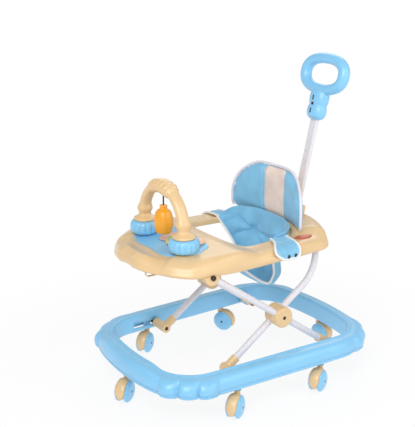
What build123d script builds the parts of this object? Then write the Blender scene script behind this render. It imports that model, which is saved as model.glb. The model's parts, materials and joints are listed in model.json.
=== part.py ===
"""Baby walker: a ring base on six twin-wheel casters, a folding scissor frame, a toy tray with a fabric
seat, and a push handle. Millimetres, +Z up, the toys face -Y, the child's left side is +X."""

import os
from math import asin, cos, degrees, radians, sin, sqrt, tan

from build123d import *

os.makedirs("parts", exist_ok=True)

# Fits
RUN = 0.05
GAP = 0.3

# Base ring: an upside-down channel, bowed at the front and the rear
RING_FRONT = -286.0
RING_REAR = 298.0
RING_BOW = 34.0
RING_HALF_FRONT = 199.0
RING_HALF_REAR = 215.0
RING_CORNER = 105.0
RING_WIDTH = 38.0
RING_WALL = 3.0
RING_LOW = 62.0
RING_TOP = 112.0
RING_EDGE = 11.0
RING_LIP = 4.0
RING_LIP_HEIGHT = 7.0
LOBE_INSET = 6.0
LOBES = ((0.2, 19.0), (0.5, 27.0), (0.8, 19.0))
BAND_HALF_LENGTH = 105.0
BAND_WIDTH = 20.0
BAND_RISE = 6.0
BAND_EDGE = 2.5

# Casters: twin wheels that trail behind an upright stem
FRONT_CASTER_Y = -115.0
REAR_CASTER_Y = 123.0
WHEEL_RADIUS = 26.5
WHEEL_WIDTH = 12.5
WHEEL_EDGE = 3.0
WHEEL_SHOULDER_RADIUS = 19.0
WHEEL_HUB_RADIUS = 8.0
WHEEL_TRAIL = 12.5
WHEEL_GAP = 0.8
HOOD_WIDTH = 11.0
HOOD_RADIUS = 28.0
HOOD_HUB_RADIUS = 9.0
HOOD_NECK_RADIUS = 8.5
FENDER_WIDTH = 26.0
FENDER_WALL = 2.6
FENDER_GAP = 1.0
FENDER_NOSE = -24.0
FENDER_TAIL = 118.0
STEM_RADIUS = 4.0
STEM_DEPTH = 17.0
STEM_CLEAR = 8.0
BOSS_RADIUS = 9.5
AXLE_RADIUS = 3.0
CASTER_HEADINGS = {
    "front": -56.0,
    "front_left": -56.0,
    "rear_left": -63.0,
    "rear": 11.0,
    "rear_right": 31.0,
    "front_right": -56.0,
}

# Scissor frame: places as (y, z) of the four pins seen from the side
SLIDE_FOOT = (-100.5, 83.0)
BASE_PIVOT = (187.0, 83.0)
CROSS_PIVOT = (43.0, 185.0)
TRACK_HEIGHT = 326.0
PIVOT_OVER_TRACK = 19.0
TRAY_PIVOT = (158.0, TRACK_HEIGHT + PIVOT_OVER_TRACK)
TUBE_RADIUS = 8.0
TUBE_WALL = 1.2
INNER_LEG_X = 138.0
OUTER_LEG_X = 156.0
LEG_BEND = 92.0
CORNER_BEND = 25.0
FOLD_TRAVEL = 59.3
TRACK_TRAVEL = 100.8
FOOT_RADIUS = 11.5
FOOT_SLEEVE = 34.0
FOOT_SLEEVE_WALL = 2.6
TUBE_SETBACK = 13.0
FOOT_HALF_WIDTH = 11.0
SLIDE_FOOT_REACH = 178.0
SLIDE_PIN_RADIUS = 5.0
SLIDE_HEAD_RADIUS = 8.0
SLIDE_HEAD = 3.0
SLIDE_HEAD_GAP = 2.5
SLOT_ROOM = 1.0
PIVOT_PIN_RADIUS = 5.0
PIVOT_HEAD = 3.0
LUG_RADIUS = 15.0
HUB_RADIUS = 25.0
HUB_FACE = 6.0
HUB_EDGE = 4.0
BOLT_RADIUS = 4.0
BOLT_HEAD_RADIUS = 6.5
BOLT_HEAD = 4.0
BOLT_TIP = 2.0
ROD_RADIUS = 6.0
BRACKET_RADIUS = 18.0
BRACKET_HALF_WIDTH = 10.0
BRACKET_RISE = 3.0
ROD_END = 4.0
TUBE_PAST_ROD = 7.0

# Tray
TRAY_FRONT = -284.0
TRAY_REAR = 229.0
TRAY_FRONT_BOW = 34.0
TRAY_REAR_BOW = 47.0
TRAY_HALF_FRONT = 180.0
TRAY_HALF_REAR = 164.0
TRAY_FRONT_CORNER = 62.0
TRAY_REAR_CORNER = 42.0
TRAY_OVER_TRACK = 2.0
TRAY_LOW = TRACK_HEIGHT + TRAY_OVER_TRACK
TRAY_HEIGHT = 46.0
TRAY_TOP = TRAY_LOW + TRAY_HEIGHT
TRAY_WALL = 3.0
TRAY_EDGE = 9.0
DECK_BREAK_Y = -95.0
DECK_SLOPE = 6.6
KEEL_BREAK_Y = -195.0
KEEL_SLOPE = 13.9
SEAT_FRONT = -68.0
SEAT_REAR = 140.0
SEAT_HALF_FRONT = 115.0
SEAT_HALF_REAR = 105.0
SEAT_FRONT_BOW = 14.0
SEAT_REAR_BOW = 27.0
SEAT_CORNER = 55.0
SEAT_SKIRT = 30.0

# Tracks and clips under the tray
TRACK_X = 58.0
TRACK_WALL = 5.0
TRACK_ROOM = 3.0
TRACK_RIM = 5.0
CLIP_X = 84.0
CLIP_WIDTH = 22.0
CLIP_WALL = 6.0

# Toy arch, rollers, hanging toy and deck toys
ARCH_HALF = 86.0
ARCH_Y = -180.0
ARCH_RADIUS = 10.0
ARCH_RISE = 14.0
SWELL_RADIUS = 13.5
SWELL_ANGLE = 46.0
RIB_RADIUS = 15.5
RIB_COUNT = 5
RIB_WIDTH = 5.0
GROOVE_HALF = 3.2
ROLLER_RADIUS = 35.0
ROLLER_SINK = 6.0
ROLLER_LOW = TRAY_TOP - ROLLER_SINK
ROLLER_HEIGHT = 32.0
ARCH_CENTRE_Z = ROLLER_LOW + ROLLER_HEIGHT + ARCH_RISE
ROLLER_EDGE = 9.0
FLUTE_COUNT = 14
FLUTE_RADIUS = 5.0
FLUTE_DEPTH = 1.6
SPINDLE_RADIUS = 7.0
SPINDLE_SINK = 12.0
POST_RADIUS = 15.0
COLLAR_RADIUS = 21.0
COLLAR_HEIGHT = 8.0
HOOK_WIRE = 1.8
HOOK_LENGTH = 32.0
TOY_HEIGHT = 66.0
TOY_RADIUS = 23.0
TOY_NECK_RADIUS = 9.0
TOY_BASE_RADIUS = 16.0
TOY_BELLY_DROP = 41.0
PANEL_FRONT = 140.0
PANEL_REAR = 12.0
PANEL_HALF = 122.0
PANEL_CORNER = 34.0
PANEL_THICK = 4.0
PANEL_EDGE = 1.5
KNOB_X = 24.0
KNOB_ALONG = 76.0
KNOB_RADIUS = 16.0
KNOB_HEIGHT = 10.0
KNOB_CAP_RADIUS = 10.0
KNOB_CAP_HEIGHT = 6.0
KNOB_SPINDLE = 4.0
PEG_PAST = 3.0
BUTTON_X = 66.0
BUTTON_ALONG = 34.0
BUTTON_RADIUS = 17.0
BUTTON_DOME = 11.0
BUTTON_TRAVEL = 4.0
BUTTON_STEM = 5.0
BUTTON_LATCH = 2.0

# Seat
BACK_RADIUS = 271.0
BACK_REAR = 158.0
BACK_THICK = 22.0
BACK_CLEAR = 6.0
BACK_LOW = TRAY_TOP + BACK_CLEAR
BACK_HEIGHT = 130.0
BACK_TOP = BACK_LOW + BACK_HEIGHT
BACK_HALF = 135.0
BACK_TOP_CORNER = 82.0
BACK_LOW_CORNER = 30.0
BACK_CROWN = 8.0
CHANNEL_X = 38.0
CHANNEL_RADIUS = 3.0
BOARD_THICK = 4.0
BOARD_HALF = 70.0
BOARD_INSET = 14.0
BOARD_CORNER = 40.0
CLOTH = 3.0
SLING_RINGS = ((3.0, 94.0, 56.0), (44.0, 92.0, 55.0), (99.0, 78.0, 48.0), (146.0, 52.0, 36.0))
SLING_LEVELS = [(TRAY_TOP - drop, half, depth) for drop, half, depth in SLING_RINGS]
SLING_FOLDS = 18
SLING_FOLD_DEPTH = 2.6
LEG_HOLE_RADIUS = 31.0
LEG_HOLE_X = 43.0
LEG_HOLE_DROP = 84.0
LEG_HOLE_Z = TRAY_TOP - LEG_HOLE_DROP
FLAP_FRONT = 26.0
FLAP_REAR = 82.0
FLAP_INSIDE_DROP = 24.0
FLAP_OUTSIDE_DROP = 40.0
SNAP_RADIUS = 4.5
SNAP_THICK = 1.5
SNAP_SPACING = 22.0
PLATE_X = 132.0
PLATE_Y = 122.0
PLATE_LENGTH = 46.0
PLATE_WIDTH = 20.0
PLATE_THICK = 2.0

# Push bar and handle
BAR_LEAN = 13.3
BAR_SINK = 22.0
BAR_FOOT = (200.5, TRAY_TOP - BAR_SINK)
BAR_WIDTH = 26.0
BAR_DEPTH = 10.0
BAR_WALL = 1.2
BAR_LENGTH = 316.0
SOCKET_WIDTH = 48.0
SOCKET_DEPTH = 30.0
SOCKET_RISE = 24.0
SOCKET_EDGE = 6.0
SOCKET_CORNER = 10.0
GRIP_OVERLAP = 54.0
GRIP_START = BAR_LENGTH - GRIP_OVERLAP
LOWER_LOBE = (48.0, 34.0, 34.0)
UPPER_LOBE = (42.0, 31.0, 40.0)
LOBE_EDGE = 11.0
LOBE_SINK = 6.0
LOOP_HALF_LENGTH = 35.5
LOOP_BEND = 41.0
LOOP_RADIUS = 12.5
LOOP_SINK = 9.0
SCREW_RADIUS = 2.0
SCREW_HEAD_RADIUS = 4.0
SCREW_HEAD = 3.0
SCREW_SPACING = 20.0


def keep(piece, label):
    """Label a finished piece and write its file."""
    piece.part.label = label
    export_step(piece.part, f"parts/{label}.step")


def bowed_plan(front, rear, half_front, half_rear, bows, corners, grow=0.0):
    """Four-sided plan with bowed ends and rounded corners, offset outwards by grow."""
    front_bow, rear_bow = bows
    front_corner, rear_corner = corners
    with BuildSketch() as plan:
        with BuildLine():
            ThreePointArc((-half_front, front + front_bow), (0, front), (half_front, front + front_bow))
            Line((half_front, front + front_bow), (half_rear, rear - rear_bow))
            ThreePointArc((half_rear, rear - rear_bow), (0, rear), (-half_rear, rear - rear_bow))
            Line((-half_rear, rear - rear_bow), (-half_front, front + front_bow))
        make_face()
        fillet(plan.vertices().group_by(Axis.Y)[0], front_corner)
        fillet(plan.vertices().group_by(Axis.Y)[-1], rear_corner)
        if grow:
            offset(amount=grow, kind=Kind.ARC)
    return plan.sketch


def ring_plan(grow):
    """Plan of the base ring's centre line, offset outwards by grow."""
    return bowed_plan(
        RING_FRONT,
        RING_REAR,
        RING_HALF_FRONT,
        RING_HALF_REAR,
        (RING_BOW, RING_BOW),
        (RING_CORNER, RING_CORNER),
        grow,
    )


def ring_side_x(y):
    """Half width of the ring's centre line along its straight side."""
    share = (y - RING_FRONT - RING_BOW) / (RING_REAR - RING_FRONT - 2 * RING_BOW)
    return RING_HALF_FRONT + (RING_HALF_REAR - RING_HALF_FRONT) * share


def side_plane(x):
    """Plane across the walker at x, with local axes along Y and Z."""
    return Plane(origin=(x, 0, 0), x_dir=(0, 1, 0), z_dir=(1, 0, 0))


def toward(start, end):
    """Unit direction in the side view from one pin to another, as (x, y, z)."""
    return Vector(0, end[0] - start[0], end[1] - start[1]).normalized()


def at_x(x, place):
    """Point at x above a side-view place."""
    return Vector(x, place[0], place[1])


# Places worked out from the driving sizes
CASTERS = {
    "front": (0.0, RING_FRONT),
    "front_left": (ring_side_x(FRONT_CASTER_Y), FRONT_CASTER_Y),
    "rear_left": (ring_side_x(REAR_CASTER_Y), REAR_CASTER_Y),
    "rear": (0.0, RING_REAR),
    "rear_right": (-ring_side_x(REAR_CASTER_Y), REAR_CASTER_Y),
    "front_right": (-ring_side_x(FRONT_CASTER_Y), FRONT_CASTER_Y),
}
OUTER_WAY = toward(BASE_PIVOT, CROSS_PIVOT)
INNER_WAY = toward(SLIDE_FOOT, CROSS_PIVOT)
ROD_Y = BASE_PIVOT[0] + (CROSS_PIVOT[0] - BASE_PIVOT[0]) * (TRACK_HEIGHT - BASE_PIVOT[1]) / (
    CROSS_PIVOT[1] - BASE_PIVOT[1]
)
ROD = (ROD_Y, TRACK_HEIGHT)
BEND_Z = SLIDE_FOOT[1] + (TRAY_PIVOT[0] - SLIDE_FOOT[0]) * INNER_WAY.Z / INNER_WAY.Y
LEG_MIDDLE_X = (INNER_LEG_X + OUTER_LEG_X) / 2
RING_INSIDE = RING_WIDTH / 2 - RING_WALL
SLOT_WALL_X = ring_side_x(SLIDE_FOOT[0]) - RING_WIDTH / 2
SLIDE_PIN_END = SLOT_WALL_X + RING_WALL + SLIDE_HEAD_GAP
LUG_X = OUTER_LEG_X + FOOT_HALF_WIDTH + GAP
LUG_WALL_X = ring_side_x(BASE_PIVOT[0]) - RING_WIDTH / 2 + RING_WALL / 2
FRONT_DECK = Plane(
    origin=(0, DECK_BREAK_Y, TRAY_TOP),
    x_dir=(1, 0, 0),
    z_dir=(0, -sin(radians(DECK_SLOPE)), cos(radians(DECK_SLOPE))),
)
FRONT_KEEL = Plane(
    origin=(0, KEEL_BREAK_Y, TRAY_LOW),
    x_dir=(1, 0, 0),
    z_dir=(0, sin(radians(KEEL_SLOPE)), cos(radians(KEEL_SLOPE))),
)
BAR_WAY = Vector(0, sin(radians(BAR_LEAN)), cos(radians(BAR_LEAN)))
BAR_PLANE = Plane(origin=at_x(0, BAR_FOOT), x_dir=(1, 0, 0), z_dir=BAR_WAY)
BACK_AXIS_Y = BACK_REAR - BACK_RADIUS
SLING_Y = SEAT_REAR - GAP - SLING_FOLD_DEPTH - SLING_LEVELS[0][2]

# Base ring
with BuildPart() as ring_channel:
    with BuildSketch(Plane.XY.offset(RING_LOW)):
        add(ring_plan(RING_INSIDE))
        add(ring_plan(-RING_INSIDE), mode=Mode.SUBTRACT)
    extrude(amount=RING_TOP - RING_WALL - RING_LOW)
    fillet(ring_channel.edges().group_by(Axis.Z)[-1], RING_EDGE - RING_WALL)
lobe_arcs = ring_plan(RING_WIDTH / 2 - LOBE_INSET).edges().filter_by(GeomType.CIRCLE).sort_by(SortBy.RADIUS)
lobe_places = [(arc @ share, radius) for arc in lobe_arcs[:4] for share, radius in LOBES]
with BuildPart() as base_ring:
    with BuildSketch(Plane.XY.offset(RING_LOW)):
        add(ring_plan(RING_WIDTH / 2))
        add(ring_plan(-RING_WIDTH / 2), mode=Mode.SUBTRACT)
    extrude(amount=RING_TOP - RING_LOW)
    fillet(base_ring.edges().group_by(Axis.Z)[-1], RING_EDGE)
    with BuildSketch(Plane.XY.offset(RING_LOW)):
        add(ring_plan(RING_WIDTH / 2 + RING_LIP))
        add(ring_plan(RING_INSIDE), mode=Mode.SUBTRACT)
    extrude(amount=RING_LIP_HEIGHT)
    for place, radius in lobe_places:
        with Locations((place.X, place.Y, RING_LOW)):
            Sphere(radius, arc_size1=0, align=Align.NONE)
    with BuildSketch(Plane.XY.offset(RING_TOP - RING_WALL)):
        add(ring_plan(BAND_WIDTH / 2))
        add(ring_plan(-BAND_WIDTH / 2), mode=Mode.SUBTRACT)
        with Locations((0, RING_FRONT)):
            Rectangle(2 * BAND_HALF_LENGTH, 2 * (RING_BOW + BAND_WIDTH), mode=Mode.INTERSECT)
    extrude(amount=RING_WALL + BAND_RISE)
    fillet(base_ring.edges().group_by(Axis.Z)[-1], BAND_EDGE)
    add(ring_channel.part, mode=Mode.SUBTRACT)
    for place, radius in lobe_places:
        with Locations((place.X, place.Y, RING_LOW)):
            Sphere(radius - RING_WALL, arc_size1=0, align=Align.NONE, mode=Mode.SUBTRACT)
    with BuildSketch(Plane.XY.offset(RING_LOW)):
        with Locations(*CASTERS.values()):
            Circle(BOSS_RADIUS)
    extrude(amount=RING_TOP - RING_WALL / 2 - RING_LOW)
    with BuildSketch(Plane.XY.offset(RING_LOW)):
        with Locations(*CASTERS.values()):
            Circle(STEM_RADIUS + RUN)
    extrude(amount=RING_TOP - STEM_CLEAR - RING_LOW, mode=Mode.SUBTRACT)
    for side in (1, -1):
        with BuildSketch(side_plane(side * LUG_X)):
            with Locations(BASE_PIVOT):
                Circle(LUG_RADIUS)
        extrude(amount=side * (LUG_WALL_X - LUG_X))
        with BuildSketch(side_plane(side * LUG_X)):
            with Locations(BASE_PIVOT):
                Circle(PIVOT_PIN_RADIUS + RUN)
        extrude(amount=side * (LUG_WALL_X - LUG_X), mode=Mode.SUBTRACT)
        with BuildSketch(side_plane(side * (SLOT_WALL_X - RING_WALL))):
            with Locations((SLIDE_FOOT[0] - FOLD_TRAVEL / 2, SLIDE_FOOT[1])):
                SlotCenterToCenter(FOLD_TRAVEL + SLOT_ROOM, 2 * (SLIDE_PIN_RADIUS + SLOT_ROOM))
        extrude(amount=side * (SLIDE_PIN_END - SLOT_WALL_X + RING_WALL), mode=Mode.SUBTRACT)
keep(base_ring, "base_ring")

with BuildPart() as rear_pivot_pins:
    for side in (1, -1):
        pin_start = OUTER_LEG_X - FOOT_HALF_WIDTH - GAP
        with BuildSketch(side_plane(side * pin_start)):
            with Locations(BASE_PIVOT):
                Circle(PIVOT_PIN_RADIUS)
        extrude(amount=side * (LUG_WALL_X - pin_start))
        with BuildSketch(side_plane(side * pin_start)):
            with Locations(BASE_PIVOT):
                Circle(SLIDE_HEAD_RADIUS)
        extrude(amount=-side * PIVOT_HEAD)
keep(rear_pivot_pins, "rear_pivot_pins")


def fender_sector():
    """Wedge from the axle that the fender fills, seen along the axle."""
    reach = 2 * WHEEL_RADIUS
    turns = [FENDER_NOSE + (FENDER_TAIL - FENDER_NOSE) * share for share in (0.0, 0.5, 1.0)]
    tips = [(reach * cos(radians(turn)), reach * sin(radians(turn))) for turn in turns]
    with BuildSketch() as wedge:
        with BuildLine():
            Line((0, 0), tips[0])
            ThreePointArc(*tips)
            Line(tips[2], (0, 0))
        make_face()
    return wedge.sketch


def build_caster(name):
    """Build the hood, the stem and axle, and the two wheels of one caster."""
    x, y = CASTERS[name]
    turn = radians(CASTER_HEADINGS[name])
    heading = Vector(cos(turn), sin(turn), 0)
    across = Vector(-sin(turn), cos(turn), 0)
    upright = Plane(origin=(x, y, 0), x_dir=heading, z_dir=across * -1)
    axle_centre = Vector(x, y, WHEEL_RADIUS) + heading * WHEEL_TRAIL
    hood_top = RING_LOW - GAP
    wheel_inside = HOOD_WIDTH / 2 + WHEEL_GAP
    wheel_outside = wheel_inside + WHEEL_WIDTH

    with BuildPart() as hood:
        with BuildSketch(upright):
            with Locations((WHEEL_TRAIL, WHEEL_RADIUS)):
                Circle(HOOD_RADIUS)
            with Locations((WHEEL_TRAIL, WHEEL_RADIUS - HOOD_RADIUS / 2)):
                Rectangle(2 * HOOD_RADIUS, HOOD_RADIUS, mode=Mode.SUBTRACT)
            with Locations((WHEEL_TRAIL, WHEEL_RADIUS)):
                Circle(HOOD_HUB_RADIUS)
            with Locations((0, (WHEEL_RADIUS + hood_top) / 2)):
                Rectangle(2 * HOOD_NECK_RADIUS, hood_top - WHEEL_RADIUS)
        extrude(amount=HOOD_WIDTH / 2, both=True)
        with BuildSketch(upright):
            with Locations((WHEEL_TRAIL, WHEEL_RADIUS)):
                Circle(WHEEL_RADIUS + FENDER_GAP + FENDER_WALL)
                Circle(WHEEL_RADIUS + FENDER_GAP, mode=Mode.SUBTRACT)
                add(fender_sector(), mode=Mode.INTERSECT)
        extrude(amount=FENDER_WIDTH / 2, both=True)
        with BuildSketch(Plane(origin=(x, y, hood_top))):
            Circle(HOOD_NECK_RADIUS)
        extrude(amount=2 * WHEEL_RADIUS + WHEEL_GAP - hood_top)
        with BuildSketch(Plane(origin=(x, y, hood_top))):
            Circle(STEM_RADIUS + RUN)
        extrude(amount=-STEM_DEPTH, mode=Mode.SUBTRACT)
        with BuildSketch(Plane(origin=axle_centre, z_dir=across)):
            Circle(AXLE_RADIUS + RUN)
        extrude(amount=HOOD_NECK_RADIUS, both=True, mode=Mode.SUBTRACT)
    keep(hood, f"caster_{name}_hood")

    with BuildPart() as pins:
        with BuildSketch(Plane(origin=(x, y, hood_top - STEM_DEPTH))):
            Circle(STEM_RADIUS)
        extrude(amount=RING_TOP - STEM_CLEAR - hood_top + STEM_DEPTH)
        with BuildSketch(Plane(origin=axle_centre, z_dir=across)):
            Circle(AXLE_RADIUS)
        extrude(amount=wheel_outside, both=True)
    keep(pins, f"caster_{name}_pins")

    for label, side in (("left", 1), ("right", -1)):
        out = across * side
        with BuildPart() as wheel:
            with BuildSketch(Plane(origin=axle_centre, x_dir=out, z_dir=out.cross(Vector(0, 0, 1)))):
                with BuildLine():
                    Polyline(
                        (wheel_outside, WHEEL_HUB_RADIUS),
                        (wheel_outside, AXLE_RADIUS + RUN),
                        (wheel_inside, AXLE_RADIUS + RUN),
                        (wheel_inside, WHEEL_RADIUS - WHEEL_EDGE),
                        (wheel_inside + WHEEL_EDGE, WHEEL_RADIUS),
                        (wheel_inside + 2 * WHEEL_EDGE, WHEEL_RADIUS),
                    )
                    ThreePointArc(
                        (wheel_inside + 2 * WHEEL_EDGE, WHEEL_RADIUS),
                        (wheel_outside - WHEEL_EDGE / 2, WHEEL_SHOULDER_RADIUS),
                        (wheel_outside, WHEEL_HUB_RADIUS),
                    )
                make_face()
            revolve(axis=Axis(axle_centre, out))
        keep(wheel, f"caster_{name}_wheel_{label}")


for caster_name in CASTERS:
    build_caster(caster_name)


def tube_between(start, end, radius, bore):
    """Straight round tube from start to end."""
    way = end - start
    with BuildPart() as tube:
        with BuildSketch(Plane(origin=start, z_dir=way)):
            Circle(radius)
            if bore:
                Circle(bore, mode=Mode.SUBTRACT)
        extrude(amount=way.length)
    return tube.part


def cross_bar(place, radius, start, end):
    """Round bar across the walker at a side-view place, from x start to x end."""
    return tube_between(at_x(start, place), at_x(end, place), radius, 0.0)


def both_sides(right_parts):
    """The given parts and their mirror images, as one list."""
    return [*right_parts, *[mirror(part, about=Plane.YZ) for part in right_parts]]


# Outer legs: pivot on the base at the rear, slide under the tray at the front
rod_end_x = OUTER_LEG_X + BRACKET_HALF_WIDTH + ROD_END
outer_low = at_x(OUTER_LEG_X, BASE_PIVOT) + OUTER_WAY * TUBE_SETBACK
outer_high = at_x(OUTER_LEG_X, ROD) + OUTER_WAY * TUBE_PAST_ROD
outer_leg = tube_between(outer_low, outer_high, TUBE_RADIUS, TUBE_RADIUS - TUBE_WALL)
outer_leg_space = tube_between(outer_low, outer_high + OUTER_WAY * BRACKET_RADIUS, TUBE_RADIUS + RUN, 0.0)
bolt_space = cross_bar(CROSS_PIVOT, BOLT_RADIUS + RUN, 0.0, rod_end_x)
rod_space = cross_bar(ROD, ROD_RADIUS + RUN, -rod_end_x, rod_end_x)
with BuildPart() as outer_legs:
    add(outer_leg)
    add([bolt_space, rod_space], mode=Mode.SUBTRACT)
    mirror(about=Plane.YZ)
keep(outer_legs, "outer_legs")

with BuildPart() as top_rod:
    add(cross_bar(ROD, ROD_RADIUS, -rod_end_x, rod_end_x))
keep(top_rod, "top_rod")

with BuildPart() as rod_brackets:
    with BuildSketch(side_plane(OUTER_LEG_X)):
        with Locations(ROD):
            Circle(BRACKET_RADIUS)
        with Locations((ROD[0], ROD[1] + BRACKET_RISE + BRACKET_RADIUS / 2)):
            Rectangle(2 * BRACKET_RADIUS, BRACKET_RADIUS, mode=Mode.SUBTRACT)
    extrude(amount=BRACKET_HALF_WIDTH, both=True)
    add([outer_leg_space, rod_space], mode=Mode.SUBTRACT)
    mirror(about=Plane.YZ)
keep(rod_brackets, "rod_brackets")

pivot_space = cross_bar(BASE_PIVOT, PIVOT_PIN_RADIUS + RUN, 0.0, rod_end_x)
with BuildPart() as rear_feet:
    with BuildSketch(side_plane(OUTER_LEG_X)):
        with Locations(BASE_PIVOT):
            Circle(FOOT_RADIUS)
    extrude(amount=FOOT_HALF_WIDTH, both=True)
    with BuildSketch(Plane(origin=at_x(OUTER_LEG_X, BASE_PIVOT), z_dir=OUTER_WAY)):
        Circle(TUBE_RADIUS + FOOT_SLEEVE_WALL)
    extrude(amount=FOOT_SLEEVE)
    add([outer_leg_space, pivot_space], mode=Mode.SUBTRACT)
    mirror(about=Plane.YZ)
keep(rear_feet, "rear_feet")


def leg_hub(leg_x, outward, leg_space):
    """Disc that clamps round a leg at the crossing, with its flat face beside the other leg's disc."""
    meeting_x = LEG_MIDDLE_X + outward * GAP
    face_x = leg_x + outward * (TUBE_RADIUS + HUB_FACE)
    with BuildPart() as hub:
        with BuildSketch(side_plane(meeting_x)):
            with Locations(CROSS_PIVOT):
                Circle(HUB_RADIUS)
        extrude(amount=face_x - meeting_x)
        fillet(hub.edges().filter_by(GeomType.CIRCLE).sort_by(Axis.X)[-1 if outward > 0 else 0], HUB_EDGE)
        add([leg_space, bolt_space], mode=Mode.SUBTRACT)
        mirror(about=Plane.YZ)
    return hub


outer_hubs = leg_hub(OUTER_LEG_X, 1, outer_leg_space)
keep(outer_hubs, "outer_hubs")

# Inner legs: slide on the base at the front, turn in clips under the rear of the tray
inner_low = at_x(INNER_LEG_X, SLIDE_FOOT) + INNER_WAY * TUBE_SETBACK
inner_leg_space = tube_between(
    inner_low, at_x(INNER_LEG_X, CROSS_PIVOT) + INNER_WAY * 2 * HUB_RADIUS, TUBE_RADIUS + RUN, 0.0
)
inner_hubs = leg_hub(INNER_LEG_X, -1, inner_leg_space)
keep(inner_hubs, "inner_hubs")

with BuildPart() as hub_bolts:
    bolt_start = INNER_LEG_X - TUBE_RADIUS - HUB_FACE - GAP
    bolt_end = OUTER_LEG_X + TUBE_RADIUS + HUB_FACE
    add(cross_bar(CROSS_PIVOT, BOLT_RADIUS, bolt_start, bolt_end))
    add(cross_bar(CROSS_PIVOT, BOLT_HEAD_RADIUS, bolt_start - BOLT_HEAD, bolt_start))
    add(cross_bar(CROSS_PIVOT, BOLT_HEAD_RADIUS, bolt_end, bolt_end + BOLT_TIP))
    mirror(about=Plane.YZ)
keep(hub_bolts, "hub_bolts")

with BuildPart() as inner_legs:
    with BuildLine() as leg_line:
        FilletPolyline(
            inner_low,
            (INNER_LEG_X, TRAY_PIVOT[0], BEND_Z),
            at_x(INNER_LEG_X, TRAY_PIVOT),
            at_x(-INNER_LEG_X, TRAY_PIVOT),
            (-INNER_LEG_X, TRAY_PIVOT[0], BEND_Z),
            (-inner_low.X, inner_low.Y, inner_low.Z),
            radius=[LEG_BEND, CORNER_BEND, CORNER_BEND, LEG_BEND],
        )
    with BuildSketch(Plane(origin=inner_low, z_dir=INNER_WAY)):
        Circle(TUBE_RADIUS)
        Circle(TUBE_RADIUS - TUBE_WALL, mode=Mode.SUBTRACT)
    sweep(path=leg_line.line)
    add(both_sides([bolt_space]), mode=Mode.SUBTRACT)
keep(inner_legs, "inner_legs")

with BuildPart() as front_feet:
    foot_start = INNER_LEG_X - FOOT_HALF_WIDTH
    add(cross_bar(SLIDE_FOOT, FOOT_RADIUS, foot_start, SLIDE_FOOT_REACH))
    with BuildSketch(Plane(origin=at_x(INNER_LEG_X, SLIDE_FOOT), z_dir=INNER_WAY)):
        Circle(TUBE_RADIUS + FOOT_SLEEVE_WALL)
    extrude(amount=FOOT_SLEEVE)
    add(inner_leg_space, mode=Mode.SUBTRACT)
    add(cross_bar(SLIDE_FOOT, SLIDE_PIN_RADIUS + RUN, foot_start, SLIDE_FOOT_REACH), mode=Mode.SUBTRACT)
    mirror(about=Plane.YZ)
keep(front_feet, "front_feet")

with BuildPart() as slide_pins:
    add(cross_bar(SLIDE_FOOT, SLIDE_PIN_RADIUS, foot_start, SLIDE_PIN_END))
    add(cross_bar(SLIDE_FOOT, SLIDE_HEAD_RADIUS, SLIDE_PIN_END, SLIDE_PIN_END + SLIDE_HEAD))
    mirror(about=Plane.YZ)
keep(slide_pins, "slide_pins")


# Tray shell
def tray_plan(grow):
    """Plan of the tray, offset outwards by grow."""
    return bowed_plan(
        TRAY_FRONT,
        TRAY_REAR,
        TRAY_HALF_FRONT,
        TRAY_HALF_REAR,
        (TRAY_FRONT_BOW, TRAY_REAR_BOW),
        (TRAY_FRONT_CORNER, TRAY_REAR_CORNER),
        grow,
    )


def seat_plan(grow):
    """Plan of the seat opening, offset outwards by grow."""
    return bowed_plan(
        SEAT_FRONT,
        SEAT_REAR,
        SEAT_HALF_FRONT,
        SEAT_HALF_REAR,
        (SEAT_FRONT_BOW, SEAT_REAR_BOW),
        (SEAT_CORNER, SEAT_CORNER),
        grow,
    )


def deck_z(y):
    """Height of the tray's top surface on its centre line."""
    return TRAY_TOP - max(0.0, DECK_BREAK_Y - y) * tan(radians(DECK_SLOPE))


def tray_block(inset):
    """The tray's block under its sloping deck, inset on the sides and the top."""
    with BuildPart() as block:
        with BuildSketch(Plane.XY.offset(TRAY_LOW)):
            add(tray_plan(-inset))
        extrude(amount=TRAY_TOP - inset - TRAY_LOW)
        split(bisect_by=FRONT_DECK.offset(-inset), keep=Keep.BOTTOM)
        if not inset:
            rims = block.faces().filter_by(lambda face: face.normal_at().Z > cos(radians(2 * DECK_SLOPE)))
            shared = [edge for edge in rims[0].edges() for other in rims[1].edges() if edge.is_same(other)]
            fillet([edge for edge in rims.edges() if not any(edge.is_same(s) for s in shared)], TRAY_EDGE)
    return block.part


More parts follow.
